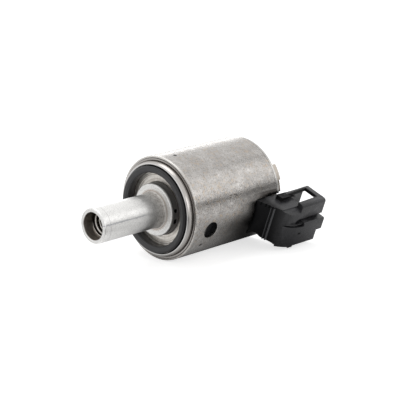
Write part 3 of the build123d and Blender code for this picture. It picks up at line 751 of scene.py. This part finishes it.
def make_black(name, colour, roughness, grain):
    """Black rubber or moulded plastic with a fine grain and faint handling marks."""
    finish = Finish(name, colour, 0.0, roughness)
    rubbed = finish.speckle(2.4, 0.42, 0.75)
    finish.lay(rubbed, times(colour, 1.5, 0.004), 0.7)
    finish.set("Roughness", finish.range(rubbed, roughness, roughness + 0.12))
    finish.bump(finish.speckle(grain, 0.3, 0.8), 0.006)
    return finish.material


def make_plain_metal(name, colour, shade, roughness):
    """Metal of an inner or small piece: a slow change of tone, fine specks and a light bump."""
    finish = Finish(name, colour, 1.0, roughness)
    specks = finish.speckle(0.6, 0.5, 0.75)
    finish.lay(finish.speckle(3.0, 0.4, 0.7), shade, 0.5)
    finish.lay(specks, shade, 0.5)
    finish.set("Roughness", finish.range(specks, roughness, roughness + 0.14))
    finish.bump(specks, 0.006)
    return finish.material


def make_winding(colour):
    """Enamelled copper winding: layers of fine wire across the axis."""
    finish = Finish("copper_look", colour, 1.0, 0.3)
    wires = finish.lines(finish.group("Round place")["Along"], 0.3)
    finish.lay(wires, times(colour, 0.5))
    finish.bump(wires, 0.05)
    return finish.material


def paint(finish, *nodes):
    """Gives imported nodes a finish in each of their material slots."""
    for node in nodes:
        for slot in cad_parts[node].material_slots:
            slot.material = finish


# Properties

def number(name, description, default, **more):
    """A number property."""
    return bpy.props.FloatProperty(name=name, description=description, default=default, **more)


def length(name, description, size):
    """A length property whose default is given in millimetres."""
    return number(name, description, size * MM, min=0.0, unit="LENGTH", subtype="DISTANCE", precision=5)


def tone(name, description, default):
    """A colour property."""
    return bpy.props.FloatVectorProperty(
        name=name, description=description, default=default, min=0.0, max=1.0, size=3, subtype="COLOR")


class ValveSizes(bpy.types.PropertyGroup):
    """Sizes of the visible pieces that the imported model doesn't give by its nodes' boxes."""
    tube_radius: length("Tube radius", "Outside radius of the feed tube", 5.0)
    bore_radius: length("Bore radius", "Radius of the tube's bore", 3.85)
    bore_depth: length("Bore depth", "Depth of the tube's wide bore", 7.5)
    tip_round: length("Tip round", "Outer rounding of the tube's tip", 0.75)
    neck_round: length("Neck round", "Rounding where the tube meets its flange", 0.5)
    flange_front: length("Flange front", "Distance of the flange behind the seal's face", 0.35)
    flange_rear: length("Flange rear", "Distance of the flange's rear behind the seal's face", 0.95)
    spigot_radius: length("Spigot radius", "Radius of the nozzle's stem inside the hub", 3.9)
    thread_pitch: length("Thread pitch", "Pitch of the ridges in the bore", 1.15)
    thread_height: length("Thread height", "Height of the ridges in the bore", 0.42)
    seal_chamfer: length("Seal chamfer", "Outer chamfer of the face seal", 0.4)
    seal_bevel: length("Seal bevel", "Inner chamfer of the face seal", 0.56)
    crest_width: length("Crest width", "Width of the rounded crest beside the seal", 1.05)
    crest_front: length("Crest front", "Distance of the crest behind the seal's face", 0.85)
    crest_foot: length("Crest foot", "Distance of the crest's outer foot behind the seal's face", 2.6)
    can_wall: length("Can wall", "Wall thickness of the can, rounded off at its front edge", 0.55)
    lip_depth: length("Lip depth", "Thickness of the can's crimped lip", 0.7)
    tab_height: length("Tab height", "Height of the upper tab behind the crimp", 1.6)
    low_tab_height: length("Low tab height", "Height of the lower tab behind the crimp", 1.0)
    crimp_round: length("Crimp round", "Rounding of the can's rear edge", 0.5)
    port_radius: length("Port radius", "Radius of the port in the can's side", 2.5)
    port_y: length("Port station", "Distance of the side port behind the seal's face", 9.0)
    stake_radius: length("Stake radius", "Radius of the stake marks in the can's side", 0.28)
    bleed_radius: length("Bleed radius", "Radius of the bleed hole in the hub", 0.55)
    bleed_y: length("Bleed station", "Distance of the bleed hole and slot behind the hub's front", 0.95)
    slot_front: length("Slot front", "Front end of the can's slot for the plug", 25.9)
    slot_width: length("Slot width", "Width of the can's slot for the plug", 11.75)
    slot_corner: length("Slot corner", "Corner radius of the can's slot", 1.8)
    plug_round: length("Plug edge round", "Rounding of the plug's moulded edges", 0.16)
    spring_wire: length("Spring wire", "Wire radius of the return spring", 0.22)
    spring_radius: length("Spring radius", "Radius of the return spring's centre line", 1.75)

    def mm(self, *names):
        """The named sizes in millimetres."""
        return [getattr(self, name) / MM for name in names]


class ValveColours(bpy.types.PropertyGroup):
    """Base colours of the finishes."""
    can: tone("Can", "Drawn steel of the can", (0.56, 0.54, 0.52))
    can_speck: tone("Can specks", "Tan specks in the can's steel", (0.56, 0.43, 0.3))
    tube: tone("Tube", "Aluminium of the feed tube", (0.9, 0.895, 0.88))
    disc: tone("Disc", "Steel of the pole disc", (0.8, 0.77, 0.72))
    rim: tone("Rim", "Steel of the ring round the seal", (0.72, 0.71, 0.7))
    rubber: tone("Rubber", "Face seal", (0.05, 0.05, 0.052))
    hub: tone("Hub", "Dark hub under the flange", (0.1, 0.096, 0.094))
    plug: tone("Plug", "Moulded connector", (0.018, 0.018, 0.02))


class StageSettings(bpy.types.PropertyGroup):
    """Camera, lamps and background."""
    azimuth: number("Azimuth", "Turn of the camera from straight ahead", math.radians(44.69), subtype="ANGLE")
    elevation: number("Elevation", "Height angle of the camera", math.radians(15.78), subtype="ANGLE")
    distance: length("Distance", "Distance of the camera from the seal's centre", 419.0)
    lens: number("Lens", "Focal length in millimetres", 135.0, min=1.0)
    origin_x: number("Across", "Place of the seal's centre across the picture, in pixels", 152.17)
    origin_y: number("Down", "Place of the seal's centre down the picture, in pixels", 210.17)
    key_power: number("Key lamp", "Power of the top lamp", 1.6, unit="POWER")
    back_power: number("Back lamp", "Power of the lamp behind the plug", 0.26, unit="POWER")
    side_power: number("Side lamp", "Power of the side lamp", 0.55, unit="POWER")
    left_power: number("Left lamp", "Power of the lamp behind the can's left side", 0.4, unit="POWER")
    ambient: number("Ambient", "Light from all round", 0.45, min=0.0)


# Operators

class VALVE_OT_can(bpy.types.Operator):
    """Builds the drawn steel can with its lip, crimp, slot, tabs, side port and stake marks"""
    bl_idname = "valve.can"
    bl_label = "Can"

    def execute(self, context):
        sizes = context.scene.valve_sizes
        inner, outer, front, tail = ring("can")
        wall, crimp, lip = sizes.mm("can_wall", "crimp_round", "lip_depth")
        tab, low_tab = sizes.mm("tab_height", "low_tab_height")
        port, port_y, stake = sizes.mm("port_radius", "port_y", "stake_radius")
        rear = tail - tab
        bore = outer - wall
        profile = outline([
            (bore, front),
            (outer, front, wall),
            (outer, rear, crimp),
            (inner, rear, 0.3),
            (inner, rear - lip, 0.1),
            (bore, rear - lip, 0.1),
        ], steps=10)
        can = grid_object("can_shell", spin(profile))
        tabs = [self.tab(bore - 0.5, outer - 0.5, rear - 0.4, tail, *TAB_TURNS),
                self.tab(bore - 0.47, outer - 0.53, rear - 0.35, rear + low_tab, *LOW_TAB_TURNS)]
        combine(can, tabs, "UNION")
        stake_y = ring("front_plate")[3] + STAKE_BEHIND
        cutters = [self.slot(sizes, rear, outer),
                   round_cutter("port_cut", port, port_y, PORT_TURN, 0.06, bore - 1.0, outer)]
        cutters += [round_cutter("stake_cut", stake, stake_y, turn, 0.1, outer - 0.25, outer)
                    for turn in STAKE_TURNS]
        combine(can, cutters, "DIFFERENCE")
        stakes = [about_axis(outer, stake_y, turn) for turn in STAKE_TURNS]
        steel = make_can_steel(context.scene.valve_colours, stakes)
        dress(can, "housing", "can_steel", steel, "can")
        return {"FINISHED"}

    def tab(self, low, high, front, rear, first, last):
        """Rectangle in (r, y) with round corners, carried along an arc about the axis between two angles."""
        section = rounded_box(high - low, rear - front, 0.12) + [(low + high) / 2, (front + rear) / 2]
        angle = np.linspace(first, last, 24)[:, None]
        return grid_object("tab", about_axis(section[:, 0], section[:, 1], angle), close_rows=False)

    def slot(self, sizes, rear, outer):
        """Rectangle in (y, t) with round corners, carried outwards along the plug's direction."""
        front, width, corner = sizes.mm("slot_front", "slot_width", "slot_corner")
        beyond, shift = 4.0, -0.025
        span = rear + beyond - front
        along, across = (rounded_box(span, width, corner) + [front + span / 2, shift]).T
        reach = np.array([8.0, outer + 2.0])[:, None]
        return radial_cutter("slot_cut", -PLUG_TURN, reach, across, along)


class VALVE_OT_nozzle(bpy.types.Operator):
    """Builds the feed tube with its flange and bore, and the ridged insert inside it"""
    bl_idname = "valve.nozzle"
    bl_label = "Nozzle"

    def execute(self, context):
        sizes = context.scene.valve_sizes
        throat, flange, tip, spigot_end = ring("nozzle")
        front, rear, spigot = sizes.mm("flange_front", "flange_rear", "spigot_radius")
        tube, bore, depth, neck, tip_round = sizes.mm(
            "tube_radius", "bore_radius", "bore_depth", "neck_round", "tip_round")
        floor = tip + depth
        profile = outline([
            (bore, floor, 0.1),
            (throat, floor + bore - throat, 0.1),
            (throat, spigot_end, 0.1),
            (spigot, spigot_end, 0.1),
            (spigot, rear, 0.05),
            (flange, rear, 0.12),
            (flange, front, 0.22),
            (tube, front, neck),
            (tube, tip, tip_round),
            (bore, tip, 0.3),
        ], steps=9)
        nozzle = grid_object("feed_tube", spin(profile))
        metal = make_tube_metal(context.scene.valve_colours, bore)
        dress(nozzle, "housing", "nozzle_aluminium", metal, "nozzle")
        pitch, height = sizes.mm("thread_pitch", "thread_height")
        insert = grid_object("bore_insert", self.ridged(pitch, height))
        steel = make_insert_steel(ring("seat_insert")[2], pitch)
        dress(insert, "housing", "insert_steel", steel, "seat_insert")
        return {"FINISHED"}

    def ridged(self, pitch, height):
        """Ring whose inner wall is a thread: its radius falls by the thread's height times a rounded wave of
        the distance along the axis divided by the pitch, less the turn, and tapers towards the rear."""
        _, outer, front, rear = ring("seat_insert")
        turn = np.linspace(0, 1, TURN_STEPS, endpoint=False)[:, None]
        along = np.linspace(front, rear, 97)[None, :]
        wave = np.sin(2 * math.pi * ((along - front) / pitch - turn))
        crest = 1 / (1 + np.exp(-7.0 * (wave - 0.25)))
        share = (along - front) / (rear - front)
        run_in = np.clip((along - front) / 0.5, 0, 1) * np.clip((rear - along) / 0.5, 0, 1)
        root = outer - 0.25 - 0.9 * share ** 1.5
        back = np.full((TURN_STEPS, 2), outer)
        radius = np.concatenate([root - height * crest * run_in, back], axis=1)
        y = np.concatenate([along, [[rear, front]]], axis=1)
        return about_axis(radius, y, 2 * math.pi * turn)


class VALVE_OT_front_face(bpy.types.Operator):
    """Builds the rubber face seal, the bright ring round it, the pole disc and the dark hub"""
    bl_idname = "valve.front_face"
    bl_label = "Front face"

    def execute(self, context):
        colours = context.scene.valve_colours
        sizes = context.scene.valve_sizes
        self.seal(sizes, colours)
        self.rim(sizes, colours)
        self.disc(colours)
        self.hub(sizes, colours)
        return {"FINISHED"}

    def seal(self, sizes, colours):
        """Flat-faced ring with a chamfer at each edge, a fine groove beside the outer one, a fine groove
        round its inner wall and an undercut inner foot."""
        inner, outer, front, rear = ring("face_seal")
        chamfer, bevel = sizes.mm("seal_chamfer", "seal_bevel")
        line = outer - chamfer
        profile = outline([
            (inner, front + bevel, 0.1),
            (inner + bevel, front, 0.1),
            (line - 0.07, front, 0.03),
            (line, front + 0.08, 0.02),
            (line + 0.07, front + 0.05, 0.03),
            (outer, front + chamfer, 0.08),
            (outer, rear, 0.05),
            (inner + 0.25, rear, 0.05),
            (inner + 0.25, rear - 0.3, 0.05),
            (inner, rear - 0.5, 0.05),
            (inner, front + 1.1, 0.04),
            (inner + 0.06, front + 1.0, 0.04),
            (inner + 0.06, front + 0.85, 0.04),
            (inner, front + 0.75, 0.04),
        ])
        piece = grid_object("seal_ring", spin(profile))
        dress(piece, "housing", "seal_rubber", make_seal_rubber(colours, inner, line), "face_seal")

    def rim(self, sizes, colours):
        """Ring with a crest, a fine groove and a step. The crest is an arc of an ellipse: the radius follows
        the sine of the turn, and y falls back from the foot by the height times the cosine."""
        inner, outer, _, rear = ring("rim_ring")
        width, crest, foot = sizes.mm("crest_width", "crest_front", "crest_foot")
        turn = np.linspace(CREST_START, math.pi / 2, 32)
        reach = width / (1 - math.sin(CREST_START))
        groove = inner + width
        curve = np.stack([groove - reach * (1 - np.sin(turn)), foot - (foot - crest) * np.cos(turn)], axis=-1)
        step = foot - 0.13
        rest = outline([
            (groove, foot + 0.22, 0.03),
            (groove + 0.14, foot + 0.22, 0.03),
            (groove + 0.14, step, 0.12),
            (outer, step, 0.04),
            (outer, rear, 0.04),
            (inner, rear, 0.04),
        ])
        piece = grid_object("rim_bead", spin(np.concatenate([curve, rest])))
        dress(piece, "housing", "rim_steel", make_rim_steel(colours, inner, groove, outer), "rim_ring")

    def disc(self, colours):
        """Disc whose face carries concentric grooves: its y is lowered by a wave of the radius."""
        inner, outer, front, rear = ring("front_plate")
        depth, pitch = 0.03, 0.9
        radius = np.linspace(outer - 0.1, inner + 0.1, 120)
        wave = np.clip(np.cos(2 * math.pi * (radius - inner) / pitch), 0, 1) ** 3
        face = np.stack([radius, front + depth * wave], axis=-1)
        rest = outline([
            (inner, front + depth, 0.03),
            (inner, rear, 0.05),
            (outer, rear, 0.05),
            (outer, front + depth, 0.03),
        ])
        half_corner = (ARC_STEPS + 2) // 2
        piece = grid_object("pole_disc", spin(np.concatenate([face, rest[half_corner:-half_corner]])))
        steel = make_turned_steel("pole_steel_look", colours.disc, (0.3, 0.25, 0.2), 0.4, 0.018)
        dress(piece, "housing", "pole_steel", steel, "front_plate")

    def hub(self, sizes, colours):
        """Ring with a bleed hole and a bleed slot cut through its wall."""
        inner, outer, front, rear = ring("hub")
        spigot, bleed, bleed_y = sizes.mm("spigot_radius", "bleed_radius", "bleed_y")
        spigot += HUB_GAP
        step = ring("nozzle")[3]
        profile = outline([
            (spigot, front, 0.05),
            (outer, front, 0.12),
            (outer, rear, 0.05),
            (inner, rear, 0.05),
            (inner, step, 0.05),
            (spigot, step, 0.05),
        ])
        piece = grid_object("hub_ring", spin(profile))
        start = spigot + 0.5
        y = front + bleed_y
        across, along = rounded_box(1.6, 1.0, 0.3).T
        reach = np.array([start, outer + 1.0])[:, None]
        hole = round_cutter("bleed_cut", bleed, y, BLEED_HOLE_TURN, 0.06, start, outer)
        slot = radial_cutter("bleed_slot_cut", BLEED_SLOT_TURN, reach, across, y + along)
        combine(piece, [hole, slot], "DIFFERENCE")
        dress(piece, "housing", "hub_dark", make_hub_steel(colours, outer), "hub")


class VALVE_OT_plug(bpy.types.Operator):
    """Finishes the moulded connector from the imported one, with rounded edges, and its terminals"""
    bl_idname = "valve.plug"
    bl_label = "Plug"

    def execute(self, context):
        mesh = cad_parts["connector"].data.copy()
        work = bmesh.new()
        work.from_mesh(mesh)
        bmesh.ops.remove_doubles(work, verts=work.verts, dist=1e-6)
        bmesh.ops.dissolve_limit(
            work, verts=work.verts, edges=work.edges, angle_limit=FLAT_ANGLE, use_dissolve_boundaries=False)
        work.to_mesh(mesh)
        work.free()
        self.lean(mesh)
        mesh.shade_smooth()
        plug = place_object("plug_housing", mesh)
        edge = plug.modifiers.new("moulded edges", "BEVEL")
        edge.width = context.scene.valve_sizes.plug_round
        edge.segments = 3
        edge.limit_method = "ANGLE"
        edge.angle_limit = MOULDED_ANGLE
        edge.use_clamp_overlap = True
        edge.harden_normals = True
        plastic = make_plug_plastic(context.scene.valve_colours)
        dress(plug, "housing", "connector_plastic", plastic, "connector")
        tin = make_plain_metal("terminal_tin_look", (0.74, 0.73, 0.7), (0.5, 0.48, 0.45), 0.28)
        paint(tin, "terminal_upper", "terminal_lower")
        return {"FINISHED"}

    def lean(self, mesh):
        """Carries the frame's inner bar towards the axis behind the can: each point moves inwards by a share
        of its distance from the outer side, and the share grows smoothly from 0 to FRAME_LEAN along y."""
        points = mesh_points(mesh)
        reach = points @ PLUG_OUT
        start, stop = LEAN_SPAN
        share = np.clip((points[:, 1] / MM - start) / (stop - start), 0, 1)
        share = share * share * (3 - 2 * share)
        points -= np.outer(FRAME_LEAN * share * (reach.max() - reach), PLUG_OUT)
        mesh.vertices.foreach_set("co", points.ravel())
        mesh.update()


class VALVE_OT_spring(bpy.types.Operator):
    """Builds the return spring"""
    bl_idname = "valve.spring"
    bl_label = "Return spring"

    def execute(self, context):
        low, high = (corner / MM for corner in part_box("return_spring"))
        wire, coil = context.scene.valve_sizes.mm("spring_wire", "spring_radius")
        turns, steps, sides = 5.0, 360, 12
        angle = np.linspace(0, 2 * math.pi * turns, steps)[:, None]
        middle = np.linspace(low.y + wire, high.y - wire, steps)[:, None]
        around = np.linspace(0, 2 * math.pi, sides, endpoint=False)[None, :]
        grid = about_axis(coil + wire * np.cos(around), middle + wire * np.sin(around), angle)
        spring = grid_object("spring_coil", grid, close_rows=False)
        steel = make_plain_metal("spring_steel_look", (0.6, 0.59, 0.57), (0.35, 0.34, 0.33), 0.3)
        dress(spring, "housing", "ball_steel", steel, "return_spring")
        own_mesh(spring)
        return {"FINISHED"}


class VALVE_OT_inner(bpy.types.Operator):
    """Gives the pieces inside the can and under the crimp their finishes"""
    bl_idname = "valve.inner"
    bl_label = "Inner and rear pieces"

    def execute(self, context):
        disc = context.scene.valve_colours.disc
        paint(make_turned_steel("iron_look", (0.5, 0.49, 0.48), (0.28, 0.27, 0.26), 0.3, 0.008),
              "fixed_core", "armature", "flux_plate")
        paint(make_turned_steel("cover_steel_look", disc, (0.36, 0.33, 0.3), 0.4, 0.008), "rear_cover")
        paint(make_plain_metal("ball_steel_look", (0.62, 0.61, 0.6), (0.42, 0.41, 0.4), 0.18),
              "valve_seat", "poppet_ball", "push_rod", "spring_cup", "adjusting_screw", "sleeve",
              "spring_washer")
        # Dark steel for the screen, darkened further as painted shade in the hole behind the insert
        paint(make_plain_metal("screen_steel_look", (0.16, 0.15, 0.14), (0.07, 0.065, 0.06), 0.36),
              "inlet_screen")
        paint(make_plain_metal("bush_bronze_look", (0.55, 0.36, 0.19), (0.34, 0.22, 0.12), 0.34),
              "front_guide", "rear_bush")
        paint(make_black("bobbin_plastic_look", (0.03, 0.028, 0.026), 0.45, 0.25), "bobbin")
        paint(make_black("jacket_plastic_look", (0.012, 0.012, 0.013), 0.5, 0.25), "coil_jacket")
        paint(make_black("bobbin_rubber_look", (0.03, 0.03, 0.03), 0.55, 0.2), "bobbin_seal")
        paint(make_winding((0.6, 0.28, 0.14)), "coil_winding", "coil_leads")
        return {"FINISHED"}


class VALVE_OT_stage(bpy.types.Operator):
    """Sets up the pale floor, the soft lamps, the world and the camera"""
    bl_idname = "valve.stage"
    bl_label = "Stage"

    def execute(self, context):
        settings = context.scene.valve_stage
        context.scene.view_settings.view_transform = "Standard"
        self.floor()
        self.flags()
        self.world(settings)
        self.camera(settings)
        for name, (place, size, power) in LAMPS.items():
            self.lamp(name, place, size, getattr(settings, power))
        return {"FINISHED"}

    def seen_masks(self, tree):
        """The camera's rays, and the glossy and transmission rays, each as 0 or 1."""
        path = tree.nodes.new("ShaderNodeLightPath").outputs
        mirrored = maths(tree, "MAXIMUM", path["Is Glossy Ray"], path["Is Transmission Ray"])
        return path["Is Camera Ray"], mirrored

    def flat(self, name, corners, material):
        """One four-sided sheet of the stage."""
        mesh = bpy.data.meshes.new(name)
        mesh.from_pydata(corners, [], [(0, 1, 2, 3)])
        mesh.materials.append(material)
        sheet = place_object(name, mesh)
        return sheet

    def floor(self):
        """White floor under the can. The camera sees it lifted to white, less the soft shadow. Reflections see
        it as a glowing pale sheet with painted shade from ambient occlusion, painted shade under and beside the
        object and painted light in front of it."""
        level = CAD_BOX[0][2]
        material = bpy.data.materials.new("floor_white")
        material.use_nodes = True
        tree = material.node_tree
        tree.nodes.clear()
        camera, mirrored = self.seen_masks(tree)
        matte = add(tree, "ShaderNodeBsdfDiffuse", {"Color": FLOOR_GREY})
        lift = add(tree, "ShaderNodeEmission", {"Strength": maths(tree, "MULTIPLY", camera, FLOOR_LIFT)})
        lifted = add(tree, "ShaderNodeAddShader", {0: matte.outputs[0], 1: lift.outputs[0]})
        # Painted shade from ambient occlusion, then painted patches of light and shade, for reflections only
        open_sky = add(tree, "ShaderNodeAmbientOcclusion", {"Distance": SHADE_REACH}, samples=8).outputs["AO"]
        pale = maths(tree, "POWER", open_sky, SHADE_POWER)
        place = tree.nodes.new("ShaderNodeTexCoord").outputs["Object"]
        for middle, near, far, inside, outside in FLOOR_LIGHT_AND_SHADE_PATCHES:
            patch = remap(tree, distance(tree, place, (*middle, level)), inside, outside, near, far)
            pale = maths(tree, "MULTIPLY", pale, patch)
        reflected = add(tree, "ShaderNodeEmission", {"Strength": pale})
        seen = add(tree, "ShaderNodeMixShader", {0: mirrored, 1: lifted.outputs[0], 2: reflected.outputs[0]})
        add(tree, "ShaderNodeOutputMaterial", {"Surface": seen.outputs[0]})
        corners = [(x * FLOOR_HALF, y * FLOOR_HALF, level) for x, y in ((-1, -1), (1, -1), (1, 1), (-1, 1))]
        self.flat("floor", corners, material)

    def flags(self):
        """Dark cards that only reflections see: a low one behind the object, a narrow strip above it, and a
        small one in front."""
        material = bpy.data.materials.new("flag_dark")
        material.use_nodes = True
        shader = material.node_tree.nodes["Principled BSDF"]
        shader.inputs["Base Color"].default_value = FLAG_BLACK
        shader.inputs["Roughness"].default_value = 0.9
        low = self.card(Vector((0.73, 0.68, 0.0)) * 0.55, Vector((0.68, -0.73, 0.0)) * 0.3, 0.062)
        front = self.card(Vector((0.25, -0.25, 0.0)), Vector((0.05, 0.05, 0.0)), 0.1)
        side = Vector((0.0052, 0.0, -0.0015))
        start, stop = Vector((0.026, 0.098, 0.091)), Vector((0.034, 0.165, 0.095))
        strip = [start - side * 0.4, start + side * 0.4, stop + side, stop - side]
        for name, corners in (("flag_low", low), ("flag_strip", strip), ("flag_front", front)):
            card = self.flat(name, corners, material)
            card.visible_camera = False
            card.visible_diffuse = False
            card.visible_shadow = False

    def card(self, middle, half, height):
        """Corners of an upright card on the origin's level, from its middle, half width and height."""
        top = Vector((0.0, 0.0, height))
        return [middle - half, middle + half, middle + half + top, middle - half + top]

    def world(self, settings):
        """White for what the camera and reflections see, and a lower ambient light for the rest."""
        world = bpy.data.worlds.new("studio")
        world.use_nodes = True
        bpy.context.scene.world = world
        tree = world.node_tree
        background = tree.nodes["Background"]
        background.inputs["Color"].default_value = (1.0, 1.0, 1.0, 1.0)
        seen = maths(tree, "MAXIMUM", *self.seen_masks(tree))
        tree.links.new(remap(tree, seen, settings.ambient, 1.0, 0.0, 1.0), background.inputs["Strength"])

    def camera(self, settings):
        """Camera on the photograph's line of sight, aimed so that the seal's centre lands on its pixel."""
        a, e = settings.azimuth, settings.elevation
        back = Vector((math.sin(a) * math.cos(e), -math.cos(a) * math.cos(e), math.sin(e)))
        right = Vector((math.cos(a), math.sin(a), 0.0))
        up = back.cross(right)
        per_pixel = settings.distance * SENSOR / settings.lens / PICTURE
        aim = right * (PICTURE / 2 - settings.origin_x) * per_pixel
        aim += up * (settings.origin_y - PICTURE / 2) * per_pixel
        data = bpy.data.cameras.new("camera")
        data.lens = settings.lens
        data.sensor_width = SENSOR
        data.clip_start = 0.01
        camera = place_object("camera", data)
        camera.location = aim + back * settings.distance
        camera.rotation_euler = back.to_track_quat("Z", "Y").to_euler()
        bpy.context.scene.camera = camera

    def lamp(self, name, place, size, power):
        """Rectangular lamp that faces the valve."""
        data = bpy.data.lights.new(name, "AREA")
        data.shape = "RECTANGLE"
        data.size, data.size_y = size
        data.energy = power
        lamp = place_object(name, data)
        lamp.location = place
        lamp.rotation_euler = (Vector(place) - Vector(LAMP_TARGET)).to_track_quat("Z", "Y").to_euler()


class VALVE_PT_panel(bpy.types.Panel):
    """Lists the operators and their properties in the sidebar"""
    bl_idname = "VALVE_PT_panel"
    bl_label = "Solenoid valve"
    bl_space_type = "VIEW_3D"
    bl_region_type = "UI"
    bl_category = "Valve"

    def draw(self, context):
        layout = self.layout
        for operator in OPERATORS:
            layout.operator(operator.bl_idname)
        for group in (context.scene.valve_sizes, context.scene.valve_colours, context.scene.valve_stage):
            box = layout.box()
            for key in group.__annotations__:
                box.prop(group, key)


GROUPS = {"valve_sizes": ValveSizes, "valve_colours": ValveColours, "valve_stage": StageSettings}
OPERATORS = (VALVE_OT_can, VALVE_OT_nozzle, VALVE_OT_front_face, VALVE_OT_plug, VALVE_OT_spring,
             VALVE_OT_inner, VALVE_OT_stage)


def register():
    """Registers the classes and hangs the property groups on the scene."""
    for made in (*GROUPS.values(), *OPERATORS, VALVE_PT_panel):
        bpy.utils.register_class(made)
    for name, group in GROUPS.items():
        setattr(bpy.types.Scene, name, bpy.props.PointerProperty(type=group))


def unregister():
    """Takes the property groups and classes away again."""
    for name in GROUPS:
        delattr(bpy.types.Scene, name)
    for made in reversed((*GROUPS.values(), *OPERATORS, VALVE_PT_panel)):
        bpy.utils.unregister_class(made)


def main():
    """Builds every piece and the stage."""
    register()
    bpy.ops.valve.can()
    bpy.ops.valve.nozzle()
    bpy.ops.valve.front_face()
    bpy.ops.valve.plug()
    bpy.ops.valve.spring()
    bpy.ops.valve.inner()
    bpy.ops.valve.stage()


if __name__ == "__main__":
    main()
